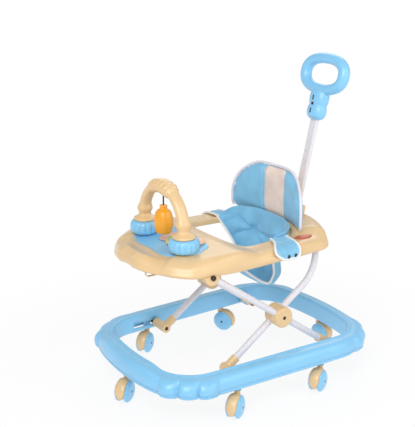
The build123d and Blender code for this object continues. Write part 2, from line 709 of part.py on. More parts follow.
tray_outside = tray_block(0.0)
tray_inside = tray_block(TRAY_WALL)
post_places = [(ARCH_HALF, ARCH_Y), (-ARCH_HALF, ARCH_Y)]
peg_depth = TRAY_WALL + PEG_PAST
spindle_low = deck_z(ARCH_Y) - SPINDLE_SINK
knob_plane = Plane(FRONT_DECK.from_local_coords((KNOB_X, -KNOB_ALONG, 0)), (1, 0, 0), FRONT_DECK.z_dir)
button_place = FRONT_DECK.from_local_coords((BUTTON_X, -BUTTON_ALONG, 0))
button_plane = Plane(button_place, (1, 0, 0), FRONT_DECK.z_dir)
with BuildPart() as tray_shell:
    add(tray_outside)
    add(tray_inside, mode=Mode.SUBTRACT)
    split(bisect_by=FRONT_KEEL, keep=Keep.TOP)
    with BuildSketch(Plane.XY.offset(TRAY_TOP - SEAT_SKIRT)):
        add(seat_plan(TRAY_WALL))
    extrude(amount=SEAT_SKIRT)
    with BuildSketch(Plane.XY.offset(TRAY_LOW)):
        add(seat_plan(0.0))
    extrude(amount=TRAY_TOP - TRAY_LOW, mode=Mode.SUBTRACT)
    with BuildSketch(Plane.XY.offset(spindle_low)):
        with Locations(*post_places):
            Circle(POST_RADIUS)
    extrude(amount=ROLLER_LOW - GAP - spindle_low)
    with BuildSketch(Plane.XY.offset(spindle_low)):
        with Locations(*post_places):
            Circle(SPINDLE_RADIUS + RUN)
    extrude(amount=ROLLER_LOW - spindle_low, mode=Mode.SUBTRACT)
    with BuildSketch(BAR_PLANE):
        SlotOverall(BAR_WIDTH + 2 * GAP, BAR_DEPTH + 2 * GAP)
    extrude(amount=TRAY_TOP - TRAY_LOW, mode=Mode.SUBTRACT)
    for plane, radius in ((knob_plane, KNOB_SPINDLE), (button_plane, BUTTON_STEM)):
        with BuildSketch(plane):
            Circle(radius + RUN)
        extrude(amount=peg_depth, both=True, mode=Mode.SUBTRACT)
keep(tray_shell, "tray_shell")

# Slotted tracks for the top rod, and clips for the inner legs' cross bar
deck_under = FRONT_DECK.offset(-TRAY_WALL)
with BuildPart() as rod_tracks:
    slot_half = ROD_RADIUS + TRACK_ROOM
    track_low = TRACK_HEIGHT - slot_half - TRACK_RIM
    track_front = ROD_Y - TRACK_TRAVEL - slot_half - TRACK_RIM
    track_rear = ROD_Y + slot_half + TRACK_RIM
    with BuildSketch(side_plane(TRACK_X)):
        with Locations(((track_front + track_rear) / 2, (track_low + TRAY_TOP) / 2)):
            Rectangle(track_rear - track_front, TRAY_TOP - track_low)
        with Locations((ROD_Y - TRACK_TRAVEL / 2, TRACK_HEIGHT)):
            SlotCenterToCenter(TRACK_TRAVEL, 2 * slot_half, mode=Mode.SUBTRACT)
    extrude(amount=TRACK_WALL)
    split(bisect_by=deck_under, keep=Keep.BOTTOM)
    mirror(about=Plane.YZ)
keep(rod_tracks, "rod_tracks")

with BuildPart() as bar_clips:
    clip_low = TRAY_PIVOT[1] - TUBE_RADIUS - CLIP_WALL
    with BuildSketch(side_plane(CLIP_X)):
        with Locations((TRAY_PIVOT[0], (clip_low + TRAY_TOP - TRAY_WALL) / 2)):
            Rectangle(2 * (TUBE_RADIUS + CLIP_WALL), TRAY_TOP - TRAY_WALL - clip_low)
    extrude(amount=-CLIP_WIDTH)
    add(cross_bar(TRAY_PIVOT, TUBE_RADIUS + RUN, 0.0, INNER_LEG_X), mode=Mode.SUBTRACT)
    mirror(about=Plane.YZ)
keep(bar_clips, "bar_clips")

# Toy panel on the sloping deck
with BuildPart() as toy_panel:
    with BuildSketch(FRONT_DECK):
        with Locations((0, -(PANEL_FRONT + PANEL_REAR) / 2)):
            RectangleRounded(2 * PANEL_HALF, PANEL_FRONT - PANEL_REAR, PANEL_CORNER)
    extrude(amount=PANEL_THICK)
    fillet(toy_panel.faces().sort_by(Axis.Z)[-1].edges(), PANEL_EDGE)
    with BuildSketch(Plane.XY.offset(spindle_low)):
        with Locations(*post_places):
            Circle(ROLLER_RADIUS + PANEL_EDGE)
    extrude(amount=ROLLER_HEIGHT, mode=Mode.SUBTRACT)
    for plane, radius in ((knob_plane, KNOB_SPINDLE), (button_plane, BUTTON_RADIUS + GAP)):
        with BuildSketch(plane):
            Circle(radius + RUN)
        extrude(amount=2 * PANEL_THICK, both=True, mode=Mode.SUBTRACT)
keep(toy_panel, "toy_panel")

# Toy arch with its collars and spindles, ribbed at the top
collar_low = ROLLER_LOW + ROLLER_HEIGHT + GAP
arch_centre = Vector(0, ARCH_Y, ARCH_CENTRE_Z)
ARCH_PLANE = Plane(origin=arch_centre, x_dir=(1, 0, 0), z_dir=(0, -1, 0))
groove_angle = degrees(GROOVE_HALF / ARCH_HALF)


def arch_point(angle):
    """Point on the arch's centre line, measured in degrees from its top towards +X."""
    turn = radians(angle)
    return ARCH_PLANE.from_local_coords((ARCH_HALF * sin(turn), ARCH_HALF * cos(turn), 0))


def arch_way(angle):
    """Direction along the arch at an angle from its top."""
    return Vector(cos(radians(angle)), 0, -sin(radians(angle)))


with BuildPart() as toy_arch:
    with BuildLine() as arch_line:
        Line((ARCH_HALF, ARCH_Y, collar_low), arch_point(90))
        ThreePointArc(arch_point(90), arch_point(0), arch_point(-90))
        Line(arch_point(-90), (-ARCH_HALF, ARCH_Y, collar_low))
    with BuildSketch(Plane(origin=(ARCH_HALF, ARCH_Y, collar_low))):
        Circle(ARCH_RADIUS)
    sweep(path=arch_line.line)
    for side in (1, -1):
        with BuildLine() as swell_line:
            ThreePointArc(
                arch_point(side * groove_angle),
                arch_point(side * (groove_angle + SWELL_ANGLE) / 2),
                arch_point(side * SWELL_ANGLE),
            )
        with BuildSketch(Plane(origin=swell_line.line @ 0, z_dir=swell_line.line % 0)):
            Circle(SWELL_RADIUS)
        sweep(path=swell_line.line)
        for rib in range(RIB_COUNT):
            angle = side * (groove_angle + (rib + 0.5) * (SWELL_ANGLE - groove_angle) / RIB_COUNT)
            with BuildSketch(Plane(origin=arch_point(angle), z_dir=arch_way(angle))):
                Circle(RIB_RADIUS)
            extrude(amount=RIB_WIDTH / 2, both=True)
        with BuildSketch(Plane(origin=(side * ARCH_HALF, ARCH_Y, collar_low))):
            Circle(COLLAR_RADIUS)
        extrude(amount=COLLAR_HEIGHT)
        with BuildSketch(Plane(origin=(side * ARCH_HALF, ARCH_Y, spindle_low))):
            Circle(SPINDLE_RADIUS)
        extrude(amount=collar_low - spindle_low)
keep(toy_arch, "toy_arch")


def build_roller(label, side):
    """Fluted roller that turns on the arch's spindle."""
    with BuildPart() as roller:
        with BuildSketch(Plane(origin=(side * ARCH_HALF, ARCH_Y, ROLLER_LOW))):
            Circle(ROLLER_RADIUS)
        extrude(amount=ROLLER_HEIGHT)
        fillet(roller.edges(), ROLLER_EDGE)
        with BuildSketch(Plane(origin=(side * ARCH_HALF, ARCH_Y, ROLLER_LOW))):
            with PolarLocations(ROLLER_RADIUS + FLUTE_RADIUS - FLUTE_DEPTH, FLUTE_COUNT):
                Circle(FLUTE_RADIUS)
            Circle(SPINDLE_RADIUS + RUN)
        extrude(amount=ROLLER_HEIGHT, mode=Mode.SUBTRACT)
    keep(roller, label)


build_roller("roller_left", 1)
build_roller("roller_right", -1)

# Hanging toy on its wire hook round the arch's groove
hook_ring = ARCH_RADIUS + GAP + HOOK_WIRE
arch_top = arch_point(0)
toy_top = arch_top.Z - hook_ring - HOOK_LENGTH
with BuildPart() as toy_hook:
    with BuildSketch(Plane(origin=arch_top, x_dir=(1, 0, 0), z_dir=(0, 1, 0))):
        with Locations((0, hook_ring)):
            Circle(HOOK_WIRE)
    revolve(axis=Axis(arch_top, (1, 0, 0)))
    with BuildSketch(Plane(origin=(0, ARCH_Y, toy_top))):
        Circle(HOOK_WIRE)
    extrude(amount=HOOK_LENGTH)
keep(toy_hook, "toy_hook")

with BuildPart() as hanging_toy:
    with BuildSketch(Plane(origin=(0, ARCH_Y, toy_top), x_dir=(1, 0, 0), z_dir=(0, -1, 0))):
        with BuildLine():
            Polyline((TOY_NECK_RADIUS, -TOY_NECK_RADIUS), (TOY_NECK_RADIUS, 0), (0, 0), (0, -TOY_HEIGHT))
            Line((0, -TOY_HEIGHT), (TOY_BASE_RADIUS, -TOY_HEIGHT))
            ThreePointArc(
                (TOY_BASE_RADIUS, -TOY_HEIGHT),
                (TOY_RADIUS, -TOY_BELLY_DROP),
                (TOY_NECK_RADIUS, -TOY_NECK_RADIUS),
            )
        make_face()
    revolve(axis=Axis((0, ARCH_Y, 0), (0, 0, 1)))
keep(hanging_toy, "hanging_toy")

# Turning knob and sprung button on the toy panel
with BuildPart() as turn_knob:
    with BuildSketch(knob_plane.offset(PANEL_THICK + GAP)):
        Circle(KNOB_RADIUS)
    extrude(amount=KNOB_HEIGHT)
    with BuildSketch(knob_plane.offset(PANEL_THICK + GAP + KNOB_HEIGHT)):
        Circle(KNOB_CAP_RADIUS)
    extrude(amount=KNOB_CAP_HEIGHT)
    with BuildSketch(knob_plane.offset(-peg_depth)):
        Circle(KNOB_SPINDLE)
    extrude(amount=peg_depth + PANEL_THICK + GAP)
keep(turn_knob, "turn_knob")

button_low = BUTTON_TRAVEL + GAP
button_top = button_low + BUTTON_DOME
cap_rise = BUTTON_DOME - BUTTON_LATCH
cap_radius = (BUTTON_RADIUS**2 + cap_rise**2) / (2 * cap_rise)
cap_turn = asin(BUTTON_RADIUS / cap_radius) / 2
with BuildPart() as press_button:
    with BuildSketch(Plane(button_plane.origin, (1, 0, 0), button_plane.y_dir * -1)):
        with BuildLine():
            Polyline(
                (0, button_top),
                (0, -peg_depth),
                (BUTTON_STEM, -peg_depth),
                (BUTTON_STEM, button_low),
                (BUTTON_RADIUS, button_low),
                (BUTTON_RADIUS, button_low + BUTTON_LATCH),
            )
            ThreePointArc(
                (BUTTON_RADIUS, button_low + BUTTON_LATCH),
                (cap_radius * sin(cap_turn), button_top - cap_radius * (1 - cos(cap_turn))),
                (0, button_top),
            )
        make_face()
    revolve(axis=Axis(button_plane.origin, button_plane.z_dir))
keep(press_button, "press_button")


# Seat back: a curved padded cushion on a stiff board that stands on the rear deck
def curved_slab(outside, thick, half, low, top, low_corner, top_corner):
    """Slab bent round an upright axis, with a rounded outline seen from the front."""
    with BuildPart() as slab:
        with BuildSketch(Plane(origin=(0, BACK_AXIS_Y, low))):
            Circle(outside)
            Circle(outside - thick, mode=Mode.SUBTRACT)
        extrude(amount=top - low)
        with BuildSketch(Plane(origin=(0, BACK_AXIS_Y, 0), x_dir=(1, 0, 0), z_dir=(0, -1, 0))) as outline:
            with Locations((0, (low + top) / 2)):
                Rectangle(2 * half, top - low)
            fillet(outline.vertices().group_by(Axis.Y)[-1], top_corner)
            if low_corner:
                fillet(outline.vertices().group_by(Axis.Y)[0], low_corner)
        extrude(amount=-2 * outside, mode=Mode.INTERSECT)
    return slab.part


cushion_block = curved_slab(
    BACK_RADIUS, BACK_THICK, BACK_HALF, BACK_LOW, BACK_TOP, BACK_LOW_CORNER, BACK_TOP_CORNER
)
with BuildPart() as backrest_cushion:
    add(cushion_block)
    fillet(backrest_cushion.edges().filter_by(lambda edge: edge.geom_type != GeomType.LINE), BACK_CROWN)
    channel_y = BACK_AXIS_Y + sqrt((BACK_RADIUS - BACK_THICK) ** 2 - CHANNEL_X**2)
    with BuildSketch(Plane.XY.offset(BACK_LOW)):
        with Locations((CHANNEL_X, channel_y), (-CHANNEL_X, channel_y)):
            Circle(CHANNEL_RADIUS)
    extrude(amount=BACK_TOP - BACK_LOW, mode=Mode.SUBTRACT)
keep(backrest_cushion, "backrest_cushion")

with BuildPart() as backrest_board:
    add(
        curved_slab(
            BACK_RADIUS + GAP + BOARD_THICK,
            BOARD_THICK,
            BOARD_HALF,
            TRAY_TOP,
            BACK_TOP - BOARD_INSET,
            0.0,
            BOARD_CORNER,
        )
    )
keep(backrest_board, "backrest_board")


def sling_outline(level, inset):
    """One gathered ring of the seat sling: a closed chain of outward arcs, drawn in by inset."""
    z, half_x, half_y = level
    step = 360.0 / SLING_FOLDS
    with BuildSketch(Plane(origin=(0, SLING_Y, z))) as ring:
        with BuildLine():
            for fold in range(SLING_FOLDS):
                angles = [radians(step * (fold + share)) for share in (0.0, 0.5, 1.0)]
                rise = [0.0, SLING_FOLD_DEPTH, 0.0]
                ThreePointArc(
                    *[
                        ((half_x - inset + up) * cos(angle), (half_y - inset + up) * sin(angle))
                        for angle, up in zip(angles, rise)
                    ]
                )
        make_face()
    return ring.sketch


def sling_body(inset, floor):
    """Loft of the sling's gathered rings, drawn in by inset, with its lowest ring at floor."""
    levels = [*SLING_LEVELS[:-1], (floor, *SLING_LEVELS[-1][1:])]
    with BuildPart() as body:
        loft([sling_outline(level, inset) for level in levels], ruled=True)
    return body.part


sling_outside = sling_body(0.0, SLING_LEVELS[-1][0])
sling_inside = sling_body(CLOTH, SLING_LEVELS[-1][0] + CLOTH)
with BuildPart() as seat_sling:
    add(sling_outside)
    add(sling_inside, mode=Mode.SUBTRACT)
    with BuildSketch(Plane(origin=(0, SLING_Y, 0), x_dir=(1, 0, 0), z_dir=(0, -1, 0))):
        with Locations((LEG_HOLE_X, LEG_HOLE_Z), (-LEG_HOLE_X, LEG_HOLE_Z)):
            Circle(LEG_HOLE_RADIUS)
    extrude(amount=SLING_Y, mode=Mode.SUBTRACT)
keep(seat_sling, "seat_sling")


def side_x(front, rear, half_front, half_rear, bows, y):
    """Half width of a bowed plan's straight side at y."""
    share = (y - front - bows[0]) / (rear - bows[1] - front - bows[0])
    return half_front + (half_rear - half_front) * share


# Cloth flaps folded over the tray's side rails, with their snaps
flap_outside = GAP + side_x(
    TRAY_FRONT, TRAY_REAR, TRAY_HALF_FRONT, TRAY_HALF_REAR, (TRAY_FRONT_BOW, TRAY_REAR_BOW), FLAP_FRONT
)
flap_inside = -GAP + side_x(
    SEAT_FRONT, SEAT_REAR, SEAT_HALF_FRONT, SEAT_HALF_REAR, (SEAT_FRONT_BOW, SEAT_REAR_BOW), FLAP_REAR
)
flap_top = TRAY_TOP + GAP
with BuildPart() as flap:
    with BuildSketch(Plane(origin=(0, FLAP_FRONT, 0), x_dir=(1, 0, 0), z_dir=(0, -1, 0))) as section:
        with BuildLine():
            Polyline(
                (flap_inside - CLOTH, flap_top - FLAP_INSIDE_DROP),
                (flap_inside - CLOTH, flap_top + CLOTH),
                (flap_outside + CLOTH, flap_top + CLOTH),
                (flap_outside + CLOTH, flap_top - FLAP_OUTSIDE_DROP),
                (flap_outside, flap_top - FLAP_OUTSIDE_DROP),
                (flap_outside, flap_top),
                (flap_inside, flap_top),
                (flap_inside, flap_top - FLAP_INSIDE_DROP),
                close=True,
            )
        make_face()
        fillet(section.vertices().group_by(Axis.Y)[-1], CLOTH)
    extrude(amount=FLAP_FRONT - FLAP_REAR)
flaps = {"seat_flap_left": flap.part, "seat_flap_right": mirror(flap.part, Plane.YZ)}
for flap_label, flap_part in flaps.items():
    with BuildPart() as one_flap:
        add(flap_part)
    keep(one_flap, flap_label)

with BuildPart() as flap_snaps:
    flap_middle = (FLAP_FRONT + FLAP_REAR) / 2
    with BuildSketch(side_plane(flap_outside + CLOTH)):
        with Locations((flap_middle, flap_top - FLAP_OUTSIDE_DROP + 2 * SNAP_RADIUS)):
            with GridLocations(SNAP_SPACING, 0, 2, 1):
                Circle(SNAP_RADIUS)
    extrude(amount=SNAP_THICK)
    mirror(about=Plane.YZ)
keep(flap_snaps, "flap_snaps")

with BuildPart() as deck_plates:
    with BuildSketch(Plane.XY.offset(TRAY_TOP)):
        with Locations((PLATE_X, PLATE_Y)):
            Ellipse(PLATE_WIDTH / 2, PLATE_LENGTH / 2)
    extrude(amount=PLATE_THICK)
    mirror(about=Plane.YZ)
keep(deck_plates, "deck_plates")

# Push bar in its socket on the rear deck
with BuildPart() as bar_socket:
    with BuildSketch(BAR_PLANE):
        RectangleRounded(SOCKET_WIDTH, SOCKET_DEPTH, SOCKET_CORNER)
    extrude(amount=TRAY_TOP + SOCKET_RISE - BAR_FOOT[1])
    fillet(bar_socket.faces().sort_by(Axis.Z)[-1].edges(), SOCKET_EDGE)
    with BuildSketch(BAR_PLANE):
        SlotOverall(BAR_WIDTH + 2 * RUN, BAR_DEPTH + 2 * RUN)
    extrude(amount=BAR_LENGTH, mode=Mode.SUBTRACT)
    split(bisect_by=Plane.XY.offset(TRAY_TOP), keep=Keep.TOP)
keep(bar_socket, "bar_socket")

screw_places = [GRIP_START + LOWER_LOBE[2] / 2, GRIP_START + LOWER_LOBE[2] / 2 + SCREW_SPACING]
screw_reach = LOWER_LOBE[1] / 2


def screw_plane(along):
    """Plane of a handle screw, pointing to the rear through the bar."""
    return Plane(BAR_PLANE.from_local_coords((0, -screw_reach, along)), (1, 0, 0), BAR_PLANE.y_dir)


with BuildPart() as screw_holes:
    for along in screw_places:
        with BuildSketch(screw_plane(along)):
            Circle(SCREW_RADIUS + RUN)
        extrude(amount=2 * screw_reach)

with BuildPart() as push_bar:
    with BuildSketch(BAR_PLANE):
        SlotOverall(BAR_WIDTH, BAR_DEPTH)
        SlotOverall(BAR_WIDTH - 2 * BAR_WALL, BAR_DEPTH - 2 * BAR_WALL, mode=Mode.SUBTRACT)
    extrude(amount=BAR_LENGTH)
    add(screw_holes.part, mode=Mode.SUBTRACT)
keep(push_bar, "push_bar")

loop_along = GRIP_START + LOWER_LOBE[2] + UPPER_LOBE[2] - LOBE_SINK + LOOP_BEND + LOOP_RADIUS - LOOP_SINK
LOOP_PLANE = Plane(BAR_PLANE.from_local_coords((0, 0, loop_along)), (1, 0, 0), BAR_PLANE.y_dir * -1)
with BuildPart() as push_handle:
    with BuildSketch(BAR_PLANE.offset(GRIP_START)):
        SlotOverall(LOWER_LOBE[0], LOWER_LOBE[1])
    extrude(amount=LOWER_LOBE[2])
    fillet(push_handle.edges(), LOBE_EDGE)
    with BuildSketch(BAR_PLANE.offset(GRIP_START + LOWER_LOBE[2] - LOBE_SINK)):
        SlotOverall(UPPER_LOBE[0], UPPER_LOBE[1])
    extrude(amount=UPPER_LOBE[2])
    with BuildLine(LOOP_PLANE) as loop_line:
        Line((-LOOP_HALF_LENGTH, -LOOP_BEND), (LOOP_HALF_LENGTH, -LOOP_BEND))
        ThreePointArc(
            (LOOP_HALF_LENGTH, -LOOP_BEND), (LOOP_HALF_LENGTH + LOOP_BEND, 0), (LOOP_HALF_LENGTH, LOOP_BEND)
        )
        Line((LOOP_HALF_LENGTH, LOOP_BEND), (-LOOP_HALF_LENGTH, LOOP_BEND))
        ThreePointArc(
            (-LOOP_HALF_LENGTH, LOOP_BEND),
            (-LOOP_HALF_LENGTH - LOOP_BEND, 0),
            (-LOOP_HALF_LENGTH, -LOOP_BEND),
        )
    with BuildSketch(Plane(origin=loop_line.line @ 0, z_dir=loop_line.line % 0)):
        Circle(LOOP_RADIUS)
    sweep(path=loop_line.line)
    with BuildSketch(BAR_PLANE):
        SlotOverall(BAR_WIDTH + 2 * RUN, BAR_DEPTH + 2 * RUN)
    extrude(amount=BAR_LENGTH + GAP, mode=Mode.SUBTRACT)
    add(screw_holes.part, mode=Mode.SUBTRACT)
keep(push_handle, "push_handle")

with BuildPart() as handle_screws:
    for along in screw_places:
        with BuildSketch(screw_plane(along)):
            Circle(SCREW_RADIUS)
        extrude(amount=2 * screw_reach)
        with BuildSketch(screw_plane(along)):
            Circle(SCREW_HEAD_RADIUS)
        extrude(amount=-SCREW_HEAD)
keep(handle_screws, "handle_screws")
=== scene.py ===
"""Looks of a baby walker: moulded shells, a sewn seat cover, toys, finishes, light and camera. Metres."""

import json
import logging
import math
from collections.abc import Callable, Sequence
from dataclasses import dataclass
from enum import Enum

import bmesh
import bpy
import numpy as np
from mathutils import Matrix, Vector
from mathutils.bvhtree import BVHTree

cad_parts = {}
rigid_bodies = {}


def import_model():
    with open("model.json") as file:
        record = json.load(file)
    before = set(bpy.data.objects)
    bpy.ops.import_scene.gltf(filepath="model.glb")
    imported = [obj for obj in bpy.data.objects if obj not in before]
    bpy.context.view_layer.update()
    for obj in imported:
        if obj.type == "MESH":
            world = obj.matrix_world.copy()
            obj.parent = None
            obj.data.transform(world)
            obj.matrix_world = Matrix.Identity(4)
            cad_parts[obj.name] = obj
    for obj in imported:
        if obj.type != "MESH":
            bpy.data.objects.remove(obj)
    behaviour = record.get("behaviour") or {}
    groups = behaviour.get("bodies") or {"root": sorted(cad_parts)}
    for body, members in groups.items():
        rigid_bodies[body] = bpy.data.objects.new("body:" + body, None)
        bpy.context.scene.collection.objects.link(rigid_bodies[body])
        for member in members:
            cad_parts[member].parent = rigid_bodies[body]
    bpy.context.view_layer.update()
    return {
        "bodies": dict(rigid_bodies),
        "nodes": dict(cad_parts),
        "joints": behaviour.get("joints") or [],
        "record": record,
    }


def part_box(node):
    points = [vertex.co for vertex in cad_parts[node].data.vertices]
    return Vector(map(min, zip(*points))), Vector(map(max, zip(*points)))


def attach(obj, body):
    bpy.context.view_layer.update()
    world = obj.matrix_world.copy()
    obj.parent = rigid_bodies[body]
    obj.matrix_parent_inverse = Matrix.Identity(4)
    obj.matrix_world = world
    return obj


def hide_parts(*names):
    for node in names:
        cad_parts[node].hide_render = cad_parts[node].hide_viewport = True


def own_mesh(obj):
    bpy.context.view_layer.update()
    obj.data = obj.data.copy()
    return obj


LOG = logging.getLogger("walker")
# How fast the band texture turns per metre at a scale of 1.
BAND_FACTOR = 20.0
# Numbers of the mix node's two colour inputs.
MIX_COLOURS = (6, 7)
BOX_FACES = ((0, 1, 2, 3), (7, 6, 5, 4), (0, 4, 5, 1), (1, 5, 6, 2), (2, 6, 7, 3), (3, 7, 4, 0))
Array = np.ndarray
Piece = bpy.types.Object
Socket = bpy.types.NodeSocket
Material = bpy.types.Material
Floats = tuple[float, ...]
Colour = tuple[float, float, float]
Point = tuple[float, float, float]
Pair = tuple[float, float]
Profile = tuple[Pair, ...]
Stops = list[tuple[float, Colour]]
Flute = Callable[[Array, Array], Array]


class Tint(Enum):
    """Colours of the walker, linear."""

    SKY = (0.225, 0.560, 0.850)
    CREAM = (0.745, 0.520, 0.270)
    TUBE = (0.720, 0.705, 0.755)
    STEEL = (0.055, 0.050, 0.050)
    ORANGE = (0.860, 0.370, 0.012)
    YELLOW = (0.830, 0.620, 0.170)
    GREEN = (0.330, 0.560, 0.190)
    PEACH = (0.860, 0.560, 0.380)
    ROSE = (0.830, 0.540, 0.470)
    RED = (0.560, 0.085, 0.045)
    SEAT = (0.215, 0.520, 0.750)
    PANEL = (0.800, 0.660, 0.590)
    PIPING = (0.740, 0.715, 0.800)


class Side(Enum):
    """The child's left and right."""

    LEFT = 1
    RIGHT = -1


def smoothstep(low: float, high: float, value: Array) -> Array:
    """Smooth rise from 0 at low to 1 at high.

    Args:
        low: where the rise starts.
        high: where it ends.
        value: the values to map.

    Returns:
        The mapped values.
    """
    share = np.clip((np.asarray(value, float) - low) / (high - low), 0.0, 1.0)
    return share * share * (3.0 - 2.0 * share)


def spline_rows(rows: Array, count: int) -> Array:
    """Smooth curve through rows, sampled evenly in its parameter.

    Args:
        rows: control values, one row each.
        count: how many samples to give.

    Returns:
        An array of count rows.
    """
    rows = np.asarray(rows, float)
    padded = np.concatenate([2 * rows[:1] - rows[1:2], rows, 2 * rows[-1:] - rows[-2:-1]])
    places = np.linspace(0.0, len(rows) - 1.0, count)
    index = np.minimum(places.astype(int), len(rows) - 2)
    shape = (count,) + (1,) * (rows.ndim - 1)
    t = (places - index).reshape(shape)
    a, b, c, d = (padded[index + step] for step in range(4))
    return 0.5 * (2 * b + (c - a) * t + (2 * a - 5 * b + 4 * c - d) * t**2 + (3 * b - a - 3 * c + d) * t**3)


def link_mesh(name: str, mesh: bpy.types.Mesh) -> Piece:
    """Smooth-shaded object for a mesh, in the scene.

    Args:
        name: the object's name.
        mesh: its mesh.

    Returns:
        The object.
    """
    mesh.polygons.foreach_set("use_smooth", [True] * len(mesh.polygons))
    obj = bpy.data.objects.new(name, mesh)
    bpy.context.scene.collection.objects.link(obj)
    return obj


def mesh_object(name: str, points: Sequence, faces: Sequence[Sequence[int]]) -> Piece:
    """Object from points and faces, with its doubles merged and its faces turned outwards.

    Args:
        name: the object's name.
        points: the points.
        faces: the faces, as point numbers.

    Returns:
        The object.
    """
    mesh = bpy.data.meshes.new(name)
    mesh.from_pydata([tuple(p) for p in points], [], [tuple(f) for f in faces])
    shape = bmesh.new()
    shape.from_mesh(mesh)
    bmesh.ops.remove_doubles(shape, verts=shape.verts, dist=1e-6)
    bmesh.ops.recalc_face_normals(shape, faces=shape.faces)
    shape.to_mesh(mesh)
    shape.free()
    return link_mesh(name, mesh)


def grid_faces(rows: int, columns: int, wrap_rows: bool, wrap_columns: bool) -> list:
    """Quads of a grid of points.

    Args:
        rows: how many rows.
        columns: how many columns.
        wrap_rows: whether the last row joins the first.
        wrap_columns: whether the last column joins the first.

    Returns:
        The faces.
    """
    return [
        (
            r * columns + c,
            r * columns + (c + 1) % columns,
            (r + 1) % rows * columns + (c + 1) % columns,
            (r + 1) % rows * columns + c,
        )
        for r in range(rows if wrap_rows else rows - 1)
        for c in range(columns if wrap_columns else columns - 1)
    ]


def circle(count: int) -> Array:
    """Angles spread evenly round a full turn."""
    return np.linspace(0.0, 2.0 * math.pi, count, endpoint=False)


def eased(wave: Array, power: float) -> Array:
    """A signed wave raised to a power, fuller below 1 and leaner above."""
    return np.sign(wave) * np.abs(wave) ** power


def bell(away: Array, spread: float) -> Array:
    """Bell curve of a distance, 1 in the middle."""
    return np.exp(-((away / spread) ** 2))


def grooves(angle: Array, count: int, sharp: int) -> Array:
    """Grooves round a turn, 1 in the middle of each and 0 between two."""
    return (0.5 + 0.5 * np.cos(count * angle)) ** sharp


def fluted(depth: float, count: int) -> Flute:
    """Even soft grooves for every ring of a turned piece."""
    return lambda ring, angle: 1.0 - depth * grooves(angle, count, 2)


def capped(rows: Sequence) -> Array:
    """Rows of points with a cap at both ends, drawn together in the end row's middle.

    Args:
        rows: the rows, all of one length.

    Returns:
        The points by row and column.
    """
    grid = np.asarray(rows, float)
    caps = [np.repeat(row.mean(axis=0)[None, None], grid.shape[1], axis=1) for row in (grid[0], grid[-1])]
    return np.concatenate([caps[0], grid, caps[1]])


def grid_object(
    name: str, grid: Array, wrap_rows: bool = False, wrap_columns: bool = True
) -> Piece:
    """Object from a grid of points.

    Args:
        name: the object's name.
        grid: points by row and column.
        wrap_rows: whether the last row joins the first.
        wrap_columns: whether the last column joins the first.

    Returns:
        The object.
    """
    rows, columns = grid.shape[:2]
    return mesh_object(name, grid.reshape(-1, 3), grid_faces(rows, columns, wrap_rows, wrap_columns))


@dataclass(frozen=True)
class Axes:
    """A place with an upward direction, for turned pieces."""

    origin: Point
    up: Point = (0.0, 0.0, 1.0)
    ahead: Point = (1.0, 0.0, 0.0)

    def points(self, local: Array) -> Array:
        """Local points in the walker's frame.

        Args:
            local: points along ahead, aside and up.

        Returns:
            The points along X, Y and Z.
        """
        up = np.asarray(self.up, float)
        up = up / np.linalg.norm(up)
        ahead = np.asarray(self.ahead, float) - up * np.dot(self.ahead, up)
        ahead = ahead / np.linalg.norm(ahead)
        return np.asarray(self.origin) + local @ np.stack([ahead, np.cross(up, ahead), up])


def turned(
    name: str,
    profile: Sequence[Pair],
    axes: Axes,
    segments: int = 64,
    flute: Flute | None = None,
) -> Piece:
    """Turned piece from a profile of radius and height, from the axis out and back to it.

    Args:
        name: the object's name.
        profile: radius and height of each ring.
        axes: where the piece stands.
        segments: how many points each ring has.
        flute: factor on the radius for ring numbers and angles.

    Returns:
        The object.
    """
    rings = np.asarray(profile, float)
    angles = circle(segments)
    level = np.ones((1, segments))
    radius = rings[:, :1] * level
    if flute:
        radius = radius * flute(np.arange(len(rings))[:, None], angles[None, :])
    local = np.stack([radius * np.cos(angles), radius * np.sin(angles), rings[:, 1:2] * level], axis=-1)
    return grid_object(name, axes.points(local))


def merge(name: str, pieces: Sequence[Piece]) -> Piece:
    """One object from several, which are removed.

    Args:
        name: the new object's name.
        pieces: the objects to join.

    Returns:
        The joined object.
    """
    shape = bmesh.new()
    for piece in pieces:
        shape.from_mesh(piece.data)
        bpy.data.objects.remove(piece)
    mesh = bpy.data.meshes.new(name)
    shape.to_mesh(mesh)
    shape.free()
    return link_mesh(name, mesh)


def subdivide(piece: Piece) -> Piece:
    """Give a piece one level of subdivision surface.

    Args:
        piece: the piece.

    Returns:
        The piece.
    """
    modifier = piece.modifiers.new("smooth", "SUBSURF")
    modifier.levels = 1
    modifier.render_levels = 1
    return piece


def thicken(piece: Piece, thickness: float) -> Piece:
    """Give a sheet its thickness, half to each side.

    Args:
        piece: the sheet.
        thickness: the full thickness.

    Returns:
        The sheet.
    """
    modifier = piece.modifiers.new("thickness", "SOLIDIFY")
    modifier.thickness = thickness
    modifier.offset = 0.0
    return piece


def voxels(piece: Piece, size: float) -> Piece:
    """Give a piece one closed skin of even voxels.

    Args:
        piece: the piece.
        size: the voxels' size.

    Returns:
        The piece.
    """
    modifier = piece.modifiers.new("voxels", "REMESH")
    modifier.mode = "VOXEL"
    modifier.voxel_size = size
    return piece


def settle(piece: Piece) -> Piece:
    """Turn a piece's live modifiers into its plain mesh.

    Args:
        piece: the piece.

    Returns:
        The piece.
    """
    graph = bpy.context.evaluated_depsgraph_get()
    mesh = bpy.data.meshes.new_from_object(piece.evaluated_get(graph))
    piece.modifiers.clear()
    piece.data = mesh
    mesh.polygons.foreach_set("use_smooth", [True] * len(mesh.polygons))
    return piece


def dress(piece: Piece, finish: Material) -> Piece:
    """Give a piece one finish all over.

    Args:
        piece: the piece.
        finish: the material.

    Returns:
        The piece.
    """
    piece.data.materials.clear()
    piece.data.materials.append(finish)
    return piece


